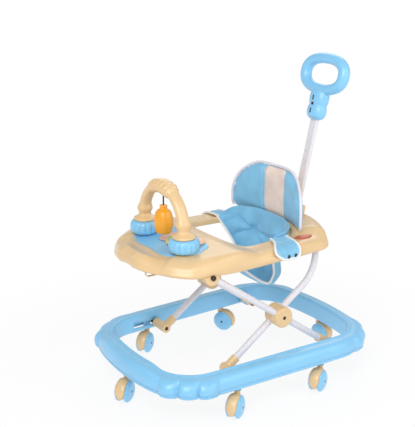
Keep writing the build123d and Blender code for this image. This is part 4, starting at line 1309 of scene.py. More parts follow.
        def flute(ring: Array, angle: Array) -> Array:
            """Soft grooves, deepest at the belly.

            Args:
                ring: ring numbers.
                angle: angles round the drum.

            Returns:
                The factor on the radius.
            """
            share = np.clip(1.0 - np.abs(ring - self.flute_middle) / self.flute_reach, 0.0, 1.0)
            depth = self.flute_depth * share**self.flute_ease
            return 1.0 - depth * grooves(angle, self.flutes, self.flute_sharp)

        axes = Axes((side.value * self.arch_half, self.arch_y, self.roller_low + half))
        drum = turned(f"roller_{side.name.lower()}_drum", profile, axes, self.roller_points, flute)
        return dress(drum, SKY())

    def toy(self, low: Vector, high: Vector) -> Piece:
        """Bottle-shaped rattle with a ringed neck and soft panels round its belly.

        Args:
            low: lowest corner of its space.
            high: highest corner of its space.

        Returns:
            The dressed rattle.
        """
        size = np.array([(high.x - low.x) / 2, high.z - low.z])
        profile = spline_rows(np.array(self.toy_rows) * size, self.toy_rings)
        profile[:, 0] = np.maximum(profile[:, 0], 0.0)
        profile[[0, -1], 0] = 0.0

        def panel(ring: Array, angle: Array) -> Array:
            """Six soft panels, fading at the neck and the foot."""
            depth = self.toy_panel_depth * bell(ring - self.toy_belly, self.toy_belly_spread)
            return 1.0 - depth * grooves(angle, self.toy_panels, 2)

        axes = Axes(((low.x + high.x) / 2, (low.y + high.y) / 2, low.z))
        return dress(turned("hanging_rattle", profile, axes, self.toy_points, panel), ORANGE())

    def panel(self) -> Piece:
        """Blue inlay with a scalloped outline on the sloping deck.

        Returns:
            The dressed inlay.
        """
        angles = circle(self.panel_points)
        half_long = (self.panel_front - self.panel_rear) / 2
        middle = (self.panel_front + self.panel_rear) / 2
        x = eased(np.cos(angles), self.panel_power) * self.panel_half
        along = eased(np.sin(angles), self.panel_power) * half_long
        scallop = 1.0 - self.scallop_depth * (0.5 - 0.5 * np.cos(self.scallops * angles)) ** 2
        rows = [
            [self.deck.at(a * s * f, middle + b * s * f, lift) for a, b, s in zip(x, along, scallop)]
            for f, lift in self.panel_rows
        ]
        return dress(subdivide(grid_object("toy_panel_inlay", np.array(rows))), SKY())

    def petal_pad(self) -> Piece:
        """Low five-lobed pad in the middle of the panel.

        Returns:
            The dressed pad.
        """
        axes = self.seat(self.pad_place, self.pad_lift)
        flute = fluted(self.pad_groove, self.pad_lobes)
        return dress(subdivide(turned("petal_pad", self.pad_rows, axes, self.pad_points, flute)), ROSE())

    def knob(self) -> tuple[Piece, Piece]:
        """Scalloped yellow knob and its green cap.

        Returns:
            The dressed knob and cap.
        """
        axes = self.seat(self.knob_place, self.seat_lift)
        flute = fluted(self.knob_groove, self.knob_grips)
        grip = turned("knob_base", self.knob_rows, axes, self.knob_points, flute)
        cap = turned("knob_cap", self.cap_rows, axes, self.cap_points)
        return dress(subdivide(grip), YELLOW()), dress(subdivide(cap), GREEN())

    def button(self) -> Piece:
        """Domed squeaker button with a bellows ring."""
        axes = self.seat(self.button_place, self.seat_lift)
        return dress(settle(subdivide(turned("squeaker_dome", self.button_rows, axes))), PEACH())

    def build(self) -> None:
        """Make and place every toy."""
        place(self.arch(), "tray", "cream_plastic", "toy_arch")
        for side in Side:
            name = side.name.lower()
            place(self.roller(side), f"roller_{name}", "blue_plastic", f"roller_{name}")
        place(self.toy(*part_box("hanging_toy")), "toy", "orange_plastic", "hanging_toy")
        place(self.panel(), "tray", "blue_plastic", "toy_panel")
        place(self.petal_pad(), "tray", "peach_plastic")
        base, cap = self.knob()
        place(base, "knob", "yellow_plastic", "turn_knob")
        place(cap, "knob", "yellow_plastic")
        dome = place(self.button(), "button", "peach_plastic", "press_button")
        crown = self.deck.at(*self.button_place, self.seat_lift + self.button_rise)
        self.deck.up()
        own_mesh(dome)


@dataclass(frozen=True)
class Casters:
    """Cream fenders over the twin wheels of the six casters."""

    fender_inside: float = 0.0275
    fender_outside: float = 0.0302
    fender_half: float = 0.0128
    fender_skin: float = 0.0006
    edge_drop: float = 0.0035
    front_low: float = math.radians(-24.0)
    rear_high: float = math.radians(118.0)
    taper: float = 0.42
    nose_reach: float = 0.75
    tail_reach: float = 0.6
    turn_rows: int = 30
    crown_points: int = 13
    hollow_points: int = 9
    plate_half: float = 0.0052
    plate_radius: float = 0.0090
    plate_points: int = 32
    web_half: float = 0.004
    web_gap: float = 0.0004
    neck_radius: float = 0.0085
    neck_low: float = 0.050
    neck_top: float = 0.0617
    neck_points: int = 40
    neck_rows: Profile = (
        (0.0, 0.0), (0.92, 0.0), (0.80, 0.3), (0.86, 0.75), (1.0, 0.9), (1.0, 1.0), (0.0, 1.0),
    )

    def shell(self, axle: Vector, ahead: Vector, across: Vector) -> Piece:
        """Curved fender round the axle, tapered at its nose and tail.

        Args:
            axle: the middle of the axle.
            ahead: level way from the stem to the axle.
            across: level way along the axle.

        Returns:
            The fender.
        """
        loop = []
        for share in np.linspace(-1.0, 1.0, self.crown_points):
            loop.append((share * self.fender_half, self.fender_outside - self.edge_drop * abs(share) ** 3))
        half, hollow = self.fender_half - self.fender_skin, self.fender_inside - self.fender_skin
        for share in np.linspace(1.0, -1.0, self.hollow_points):
            loop.append((share * half, hollow))
        rows = []
        for turn in np.linspace(self.front_low, self.rear_high, self.turn_rows):
            front = float(1.0 - smoothstep(self.front_low, self.front_low + self.nose_reach, turn))
            rear = float(smoothstep(self.rear_high - self.tail_reach, self.rear_high, turn))
            nose, tail = (1.0 - self.taper * share**2 for share in (front, rear))
            out = ahead * math.cos(turn) + Vector((0, 0, 1)) * math.sin(turn)
            rows.append([axle + across * w * nose * tail + out * r for w, r in loop])
        return grid_object("fender", capped(rows))

    def fender(self, name: str, stem: Vector, axle: Vector) -> Piece:
        """Fender, axle plate and neck of one caster.

        Args:
            name: the caster's name.
            stem: where its stem stands.
            axle: the middle of its axle.

        Returns:
            The dressed hood.
        """
        ahead = Vector((axle.x - stem.x, axle.y - stem.y, 0.0)).normalized()
        across = Vector((-ahead.y, ahead.x, 0.0))
        shell = self.shell(axle, ahead, across)
        half, radius, deep = self.plate_half, self.plate_radius, self.web_half
        disc = [(0.0, -half), (radius, -half), (radius, half), (0.0, half)]
        plate = turned("plate", disc, Axes(tuple(axle), tuple(across)), self.plate_points)
        outline = [(-half, -deep), (half, -deep), (half, deep), (-half, deep)]
        levels = (0.0, self.fender_inside - self.web_gap)
        web = np.array([[(*corner, level) for corner in outline] for level in levels])
        bridge = grid_object("web", Axes(tuple(axle), (0.0, 0.0, 1.0), tuple(across)).points(web))
        height = self.neck_top - self.neck_low
        neck = [(self.neck_radius * r, z * height) for r, z in self.neck_rows]
        column = turned("neck", neck, Axes((stem.x, stem.y, self.neck_low)), self.neck_points)
        return dress(merge(f"caster_{name}_fender", [shell, plate, bridge, column]), CREAM())

    def build(self, joints: Sequence[dict]) -> None:
        """Make and place all six fenders where the joints say.

        Args:
            joints: the frame's joints.
        """
        rolls = {j["parent"]: Vector(j["pos_m"]) for j in joints if j["name"].startswith("roll_")}
        for joint in joints:
            if joint["name"].startswith("swivel_"):
                body = joint["child"]
                name = body.removeprefix("caster_")
                hood = self.fender(name, Vector(joint["pos_m"]), rolls[body])
                place(hood, body, "cream_plastic", f"caster_{name}_hood")


@dataclass(frozen=True)
class Backrest:
    """Padded backrest with a pale centre panel, sewn channels and a piped edge."""

    sewing: Haberdashery
    axis_y: float = -0.113
    rear_radius: float = 0.2705
    thick: float = 0.022
    half: float = 0.136
    low: float = 0.372
    top: float = 0.501
    top_corner: float = 0.090
    low_corner: float = 0.022
    corner_points: int = 40
    bend_limit: float = 1.03
    blank_points: int = 160
    blank_spare: float = 0.0025
    blank_front: float = 0.005
    blank_rear: float = 0.004
    front_rows: Profile = ((0.0, 0.0), (0.35, 0.0), (0.7, 0.0005), (0.9, 0.002), (0.98, 0.005))
    rear_rows: Profile = ((0.98, -0.003), (0.9, 0.0), (0.6, 0.0), (0.0, 0.0))
    voxel: float = 0.0045
    swell_cap: float = 0.0035
    pressure: float = 4.0
    frames: int = 20
    channel: float = 0.038
    channel_depth: float = 0.0045
    channel_spread: float = 0.0035
    pucker_depth: float = 0.0007
    pucker_pitch: float = 0.0105
    pucker_spread: float = 0.012
    slack_depth: float = 0.0010
    slack_waves: Floats = (70.0, 38.0, 61.0, 1.0)
    rear_slack: float = 0.4
    piping_radius: float = 0.0034
    piping_points: int = 260
    piping_spare: float = 0.0012
    piping_low: float = 0.006
    piping_share: float = 0.42
    seam_offset: float = 0.0045
    seam_ends: Pair = (0.012, 0.010)
    seam_lift: float = 0.0004
    seam_points: int = 60

    def outline(self, count: int, inset: float = 0.0) -> Array:
        """Closed outline seen from the front, as offset from the middle and height.

        Args:
            count: how many points it has.
            inset: how far it is drawn in.

        Returns:
            The points.
        """
        half, low, top = self.half - inset, self.low + inset, self.top - inset
        corners = [
            (half - self.low_corner, low + self.low_corner, self.low_corner, -90.0),
            (half - self.top_corner, top - self.top_corner, self.top_corner, 0.0),
            (-half + self.top_corner, top - self.top_corner, self.top_corner, 90.0),
            (-half + self.low_corner, low + self.low_corner, self.low_corner, 180.0),
        ]
        dense = []
        for x, z, radius, start in corners:
            for angle in np.radians(np.linspace(start, start + 90.0, self.corner_points)):
                dense.append((x + radius * math.cos(angle), z + radius * math.sin(angle)))
        dense.append(dense[0])
        dense = np.array(dense)
        steps = np.r_[0.0, np.cumsum(np.linalg.norm(np.diff(dense, axis=0), axis=1))]
        spread = np.linspace(0.0, steps[-1], count, endpoint=False)
        return np.stack([np.interp(spread, steps, column) for column in dense.T], axis=-1)

    def bend(self, across: Array, height: Array, radius: float) -> Array:
        """Points round the backrest's upright axis, from a place across, a height and a radius."""
        x = np.clip(across, -self.bend_limit * self.half, self.bend_limit * self.half)
        return np.stack([x, self.axis_y + np.sqrt(radius**2 - x**2), height], axis=-1)

    def blank(self) -> Piece:
        """Closed pad before it is filled.

        Returns:
            The pad.
        """
        edge = self.outline(self.blank_points, -self.blank_spare)
        middle = np.array([0.0, (self.low + self.top) / 2])
        front = self.rear_radius - self.thick + self.blank_front
        rear = self.rear_radius - self.blank_rear
        stations = [(share, front + step) for share, step in self.front_rows]
        stations += [(1.0, (front + rear) / 2)]
        stations += [(share, rear + step) for share, step in self.rear_rows]
        rows = []
        for share, radius in stations:
            ring = middle + (edge - middle) * share
            rows.append(self.bend(ring[:, 0], ring[:, 1], radius))
        return grid_object("backrest_pad", np.array(rows))

    def fill(self, pad: Piece) -> None:
        """Swell the pad as cloth under pressure, with its travel capped.

        Args:
            pad: the closed pad.
        """
        settle(voxels(pad, self.voxel))
        before = np.array([v.co for v in pad.data.vertices])
        cloth = pad.modifiers.new("filling", "CLOTH")
        cloth.settings.use_pressure = True
        cloth.settings.uniform_pressure_force = self.pressure
        cloth.settings.effector_weights.gravity = 0.0
        cloth.point_cache.frame_end = self.frames
        scene = bpy.context.scene
        for frame in range(1, self.frames + 1):
            scene.frame_set(frame)
        settle(pad)
        scene.frame_set(1)
        moved = np.array([v.co for v in pad.data.vertices]) - before
        length = np.linalg.norm(moved, axis=1, keepdims=True)
        kept = before + moved * np.minimum(1.0, self.swell_cap / np.maximum(length, 1e-9))
        pad.data.vertices.foreach_set("co", kept.ravel())
        pad.data.update()

    def sew(self, pad: Piece) -> None:
        """Draw in the two channels with their puckers, and let the cover go a little slack.

        Args:
            pad: the filled pad.
        """
        points = np.array([v.co for v in pad.data.vertices])
        normals = np.array([v.normal for v in pad.data.vertices])
        x, z = points[:, 0], points[:, 2]
        facing = np.hypot(x, points[:, 1] - self.axis_y) < self.rear_radius - self.thick / 2
        beside = np.abs(x) - self.channel
        groove = self.channel_depth * bell(beside, self.channel_spread)
        puckers = self.pucker_depth * np.sin(z / self.pucker_pitch * 2 * math.pi)
        puckers = puckers * bell(beside, self.pucker_spread)
        across, up, steep, shift = self.slack_waves
        slack = self.slack_depth * np.sin(x * across + z * up) * np.sin(z * steep - shift)
        depth = np.where(facing, groove + puckers + slack, self.rear_slack * slack)
        pad.data.vertices.foreach_set("co", (points - normals * depth[:, None]).ravel())
        pad.data.update()

    def build(self) -> None:
        """Make and place the pad, its piping and its stitches."""
        pad = self.blank()
        self.fill(pad)
        self.sew(pad)
        dress(pad, BACK()).data.materials.append(SEAT())
        rear = [
            math.hypot(p.center.x, p.center.y - self.axis_y) > self.rear_radius - self.thick / 2
            for p in pad.data.polygons
        ]
        pad.data.polygons.foreach_set("material_index", [int(r) for r in rear])
        subdivide(pad)
        place(pad, "tray", "seat_fabric", "backrest_cushion")
        edge = self.outline(self.piping_points, -self.piping_spare)
        edge = edge[edge[:, 1] > self.low + self.piping_low]
        rim = self.bend(edge[:, 0], edge[:, 1], self.rear_radius - self.piping_share * self.thick)
        place(self.sewing.pipe("backrest_piping", rim, self.piping_radius, PIPING()), "tray", "seat_fabric")
        heights = np.linspace(self.low + self.seam_ends[0], self.top - self.seam_ends[1], self.seam_points)
        face = self.rear_radius - self.thick - self.seam_lift
        seams = []
        for side in Side:
            for offset in (-self.seam_offset, self.seam_offset):
                across = np.full(self.seam_points, side.value * self.channel + offset)
                seams.append(self.sewing.sew("seam", self.bend(across, heights, face), PIPING()))
        place(merge("backrest_stitches", seams), "tray", "seat_fabric")


@dataclass(frozen=True)
class SeatCover:
    """The hanging seat: a bucket with two leg holes, a crotch strap and a flap over each side rail."""

    sewing: Haberdashery
    cloth: float = 0.0022
    columns: int = 96
    rows: int = 110
    half_rows: tuple[tuple[Point, ...], ...] = (
        ((0.0, 0.1295, 0.386), (0.056, 0.124, 0.386), (0.0985, 0.1105, 0.384),
         (0.115, 0.088, 0.378), (0.112, 0.043, 0.3645)),
        ((0.0, 0.132, 0.352), (0.055, 0.1265, 0.349), (0.09, 0.109, 0.345),
         (0.101, 0.084, 0.343), (0.101, 0.054, 0.342)),
        ((0.0, 0.133, 0.305), (0.05, 0.127, 0.303), (0.082, 0.11, 0.302),
         (0.091, 0.09, 0.305), (0.09, 0.071, 0.31)),
        ((0.0, 0.129, 0.258), (0.042, 0.125, 0.256), (0.069, 0.112, 0.258),
         (0.076, 0.098, 0.263), (0.075, 0.086, 0.27)),
        ((0.0, 0.12, 0.225), (0.03, 0.118, 0.224), (0.05, 0.11, 0.227),
         (0.057, 0.102, 0.233), (0.057, 0.094, 0.241)),
        ((0.0, 0.104, 0.21), (0.02, 0.103, 0.21), (0.036, 0.099, 0.212),
         (0.043, 0.095, 0.216), (0.045, 0.09, 0.222)),
        ((0.0, 0.072, 0.223), (0.014, 0.072, 0.223), (0.026, 0.071, 0.224),
         (0.033, 0.07, 0.227), (0.035, 0.069, 0.231)),
        ((0.0, 0.03, 0.256), (0.012, 0.03, 0.256), (0.022, 0.03, 0.257),
         (0.028, 0.03, 0.259), (0.031, 0.03, 0.262)),
        ((0.0, -0.02, 0.3), (0.012, -0.02, 0.3), (0.022, -0.02, 0.301),
         (0.029, -0.02, 0.303), (0.032, -0.02, 0.306)),
        ((0.0, -0.063, 0.342), (0.014, -0.063, 0.342), (0.026, -0.063, 0.343),
         (0.034, -0.063, 0.345), (0.038, -0.063, 0.348)),
    )
    pucker_x: float = 0.057
    pucker_y: float = 0.120
    pucker_z: float = 0.327
    pucker_depth: float = 0.0082
    pucker_count: int = 5
    pucker_lean: float = 0.8
    pucker_twist: Floats = (0.45, 2.0, 0.7)
    pucker_wave: Floats = (1.3, 0.8, 0.1)
    pucker_start: Pair = (0.003, 0.020)
    pucker_end: Pair = (0.040, 0.085)
    inward_y: float = 0.02
    dent_depth: float = 0.008
    dent_spread: float = 0.016
    dent_top: float = 0.012
    fold_limits: Pair = (-0.008, 0.010)
    edge_radius: float = 0.0030
    rail_inside: Floats = (0.115, 0.010, -0.054, 0.167)
    rail_outside: Floats = (0.180, 0.016, -0.250, 0.432)
    flap_cut: tuple[Pair, Pair] = ((0.075, 0.0085), (0.044, 0.0047))
    flap_stations: int = 56
    flap_rim: int = 13
    flap_columns: int = 22
    flap_fronts: tuple[Floats, Floats] = (
        (0.056, 0.048, 0.045, 0.032, 0.016, 0.010, 0.018, 0.031, 0.046),
        (0.060, 0.050, 0.048, 0.046, 0.044, 0.042, 0.042, 0.045, 0.052),
    )
    flap_rear: Floats = (0.104, 0.090, 0.086, 0.083, 0.081, 0.080, 0.080, 0.078, 0.066)
    flap_inner: Floats = (1.0, 1.0, 0.96, 0.5, 0.05, 0.0, 0.0, 0.0, 0.0)
    flap_shift: Floats = (-0.0060, -0.0052, -0.0005, 0.0, -0.0050, 0.0046, 0.0064, 0.0064, 0.0060)
    flap_height: Floats = (0.338, 0.356, 0.3622, 0.3632, 0.3605, 0.3525, 0.343, 0.335, 0.331)
    ripple_depth: float = 0.0008
    ripple_waves: Pair = (210.0, 5.0)
    tape_radius: float = 0.0031
    seam_start: int = 8
    seam_columns: int = 2
    seam_rows: int = 4
    seam_lift: float = 0.0014
    snap_places: Pair = (0.046, 0.066)
    snap_out: float = 0.0075
    snap_height: float = 0.3385
    snap_radius: float = 0.0045
    snap_rise: float = 0.45

    def bucket_grid(self) -> Array:
        """Points of the bucket with its gathered folds.

        Returns:
            The points by row and column.
        """
        half = np.array(self.half_rows)
        mirrored = half[:, :0:-1] * np.array([-1.0, 1.0, 1.0])
        full = np.concatenate([mirrored, half], axis=1)
        down = spline_rows(full, self.rows)
        grid = spline_rows(down.transpose(1, 0, 2), self.columns).transpose(1, 0, 2)
        sway, beat, lead = self.pucker_twist
        height, ease, drop = self.pucker_wave
        for side in Side:
            away = grid - np.array([side.value * self.pucker_x, self.pucker_y, self.pucker_z])
            reach = np.linalg.norm(away, axis=-1)
            turn = np.arctan2(away[..., 2], away[..., 1] - side.value * self.pucker_lean * away[..., 0])
            turn = turn + sway * np.sin(beat * turn + lead)
            fade = smoothstep(*self.pucker_start, reach) * (1.0 - smoothstep(*self.pucker_end, reach))
            waves = height * np.abs(np.sin(self.pucker_count * turn / 2.0)) ** ease - drop
            fold = self.pucker_depth * fade * waves
            level = np.zeros(grid.shape[:2])
            inward = np.stack([-grid[..., 0], self.inward_y - grid[..., 1], level], axis=-1)
            inward /= np.maximum(np.linalg.norm(inward, axis=-1, keepdims=True), 1e-6)
            below = grid[..., 2] < self.pucker_z + self.dent_top
            dent = self.dent_depth * bell(reach, self.dent_spread) * below
            grid = grid + inward * np.clip(fold - dent, *self.fold_limits)[..., None]
        return grid

    @staticmethod
    def rail(edge: Floats, y: Array) -> Array:
        """Half width at a rail's edge, from its width in front, its taper, its front end and its length."""
        half, taper, front, long = edge
        return half - taper * (y - front) / long

    def flap_grid(self, side: Side) -> Array:
        """Points of a flap, from inside the opening over the rail and down its outer face.

        Args:
            side: which of the two flaps.

        Returns:
            The points by station and column.
        """
        front = self.flap_fronts[side is Side.RIGHT]
        stations = np.array([front, self.flap_rear, self.flap_inner, self.flap_shift, self.flap_height])
        table = spline_rows(stations.T, self.flap_stations)
        share = np.linspace(0.0, 1.0, self.flap_columns)
        y = table[:, :1] + (table[:, 1:2] - table[:, :1]) * share
        blend = np.clip(table[:, 2:3], 0.0, 1.0)
        x = self.rail(self.rail_inside, y) * blend + self.rail(self.rail_outside, y) * (1.0 - blend)
        x = x + table[:, 3:4]
        along, round_rail = self.ripple_waves
        ripple = self.ripple_depth * np.sin(y * along + table[:, 2:3] * round_rail) * np.sin(share * math.pi)
        return np.stack([side.value * (x + ripple), y, table[:, 4:5] + np.abs(ripple)], axis=-1)

    def bucket(self) -> None:
        """Make and place the bucket and the piping of its leg holes."""
        grid = self.bucket_grid()
        bucket = thicken(grid_object("seat_bucket", grid, wrap_columns=False), self.cloth)
        place(dress(settle(subdivide(bucket)), SEAT()), "tray", "seat_fabric", "seat_sling")
        edges = [self.sewing.pipe("edge", grid[:, column], self.edge_radius, PIPING()) for column in (0, -1)]
        place(merge("leg_hole_piping", edges), "tray", "seat_fabric")

    def flaps(self) -> None:
        """Make and place the flaps, their tape and their stitches."""
        tapes, rows = [], []
        rim, start, end, beside = self.flap_rim, self.seam_start, -self.seam_rows, self.seam_columns
        for side in Side:
            grid = self.flap_grid(side)
            name = side.name.lower()
            flap = thicken(grid_object(f"seat_flap_{name}_cloth", grid, wrap_columns=False), self.cloth)
            place(dress(settle(subdivide(flap)), SEAT()), "tray", "seat_fabric", f"seat_flap_{name}")
            border = np.concatenate([grid[rim:, 0], grid[-1], grid[:rim:-1, -1]])
            tapes.append(self.sewing.pipe("tape", border, self.tape_radius, PIPING()))
            near, far = grid[start : end + 1, beside], grid[end:start:-1, -beside - 1]
            inset = np.concatenate([near, grid[end, beside:-beside], far])
            lift = np.array([side.value * self.seam_lift, 0.0, 0.0])
            rows.append(self.sewing.sew("row", inset + lift, PIPING()))
        place(merge("flap_piping", tapes), "tray", "seat_fabric")
        place(merge("flap_stitches", rows), "tray", "seat_fabric")

    def snaps(self) -> None:
        """Make and place the flaps' snap caps."""
        spots = []
        for side in Side:
            for y in self.snap_places:
                out = float(self.rail(self.rail_outside, np.array(y))) + self.snap_out
                spots.append(((side.value * out, y, self.snap_height), (side.value, 0.0, 0.0)))
        caps = self.sewing.stud("flap_snap_caps", spots, self.snap_radius, self.snap_rise, STEEL())
        place(caps, "tray", "dark_steel", "flap_snaps")

    def build(self) -> None:
        """Make and place the bucket, the flaps and the snaps."""
        self.bucket()
        self.flaps()
        self.snaps()


@dataclass(frozen=True)
class PushHandle:
    """The push bar's moulded loop handle: an oval grip on two stacked lobes."""

    sewing: Haberdashery
    foot: Point = (0.0, 0.2005, 0.352)
    lean: float = math.radians(13.3)
    lower_lobe: Point = (0.0280, 0.0215, 0.0220)
    upper_lobe: Point = (0.0285, 0.0210, 0.0260)
    lobe_places: Pair = (0.281, 0.313)
    lobe_rings: int = 33
    lobe_points: int = 48
    lobe_powers: Pair = (0.8, 0.7)
    loop_place: float = 0.3740
    loop_half: float = 0.0690
    loop_rise: float = 0.0385
    loop_power: float = 2.35
    loop_stations: int = 160
    grip_radius: float = 0.0134
    grip_swell: float = 0.0012
    grip_points: int = 32
    voxel: float = 0.0016
    softness: float = 0.5
    smoothing: int = 10
    # The slots are drawn as raised dark domes: painted shade where the slots' hollows are.
    slot_steps: Floats = (-0.004, 0.0, 0.004)
    slot_sink: float = 0.0002
    slot_radius: float = 0.0024
    slot_rise: float = 0.5

    def axes(self, along: float) -> Axes:
        """Axes at a length along the bar, with its lean.

        Args:
            along: the length from the bar's foot.

        Returns:
            The axes.
        """
        way = (0.0, math.sin(self.lean), math.cos(self.lean))
        origin = tuple(f + w * along for f, w in zip(self.foot, way))
        return Axes(origin, way, (1.0, 0.0, 0.0))

    def lobe(self, along: float, half: Point) -> Piece:
        """One rounded lobe of the neck.

        Args:
            along: its place along the bar.
            half: its half size across, deep and up.

        Returns:
            The lobe.
        """
        turns = np.linspace(-math.pi / 2, math.pi / 2, self.lobe_rings)
        loop = circle(self.lobe_points)
        rise = eased(np.sin(turns), self.lobe_powers[0])
        girth = np.maximum(np.cos(turns), 0.0) ** self.lobe_powers[1]
        waves = ((girth, np.cos(loop)), (girth, np.sin(loop)), (rise, np.ones(len(loop))))
        local = np.stack([np.outer(*wave) * size for wave, size in zip(waves, half)], axis=-1)
        return grid_object("lobe", self.axes(along).points(local))

    def loop(self) -> Piece:
        """Oval grip, a little fuller at its sides.

        Returns:
            The grip.
        """
        turns = circle(self.loop_stations)
        power = 2.0 / self.loop_power
        x = eased(np.cos(turns), power) * self.loop_half
        z = eased(np.sin(turns), power) * self.loop_rise
        path = np.stack([x, 0.0 * x, z], axis=-1)
        way = np.roll(path, -1, axis=0) - np.roll(path, 1, axis=0)
        way /= np.linalg.norm(way, axis=1, keepdims=True)
        out = np.stack([way[:, 2], 0.0 * x, -way[:, 0]], axis=-1)
        ring = circle(self.grip_points)[None, :, None]
        radius = self.grip_radius + self.grip_swell * np.abs(np.cos(turns)) ** 2
        round_grip = np.cos(ring) * out[:, None] + np.sin(ring) * np.array([0.0, 1.0, 0.0])
        local = path[:, None] + radius[:, None, None] * round_grip
        return grid_object("loop", self.axes(self.loop_place).points(local), wrap_rows=True)

    def build(self) -> None:
        """Make and place the handle, and dark steel domes on its front as painted shade for its two slots.
        """
        lobes = list(zip(self.lobe_places, (self.lower_lobe, self.upper_lobe)))
        pieces = [self.lobe(along, half) for along, half in lobes]
        handle = voxels(merge("push_handle_moulding", [*pieces, self.loop()]), self.voxel)
        soften = handle.modifiers.new("soften", "SMOOTH")
        soften.factor = self.softness
        soften.iterations = self.smoothing
        place(dress(settle(handle), SKY()), "tray", "blue_plastic", "push_handle")
        spots = []
        for along, half in lobes:
            for step in self.slot_steps:
                face = np.array([0.0, -half[1] + self.slot_sink, step])
                spots.append((tuple(self.axes(along).points(face)), (0.0, -1.0, 0.0)))
        # Dark steel domes as painted shade of the slots.
        slots = self.sewing.stud("handle_front_slots", spots, self.slot_radius, self.slot_rise, STEEL())
        place(slots, "tray", "dark_steel")


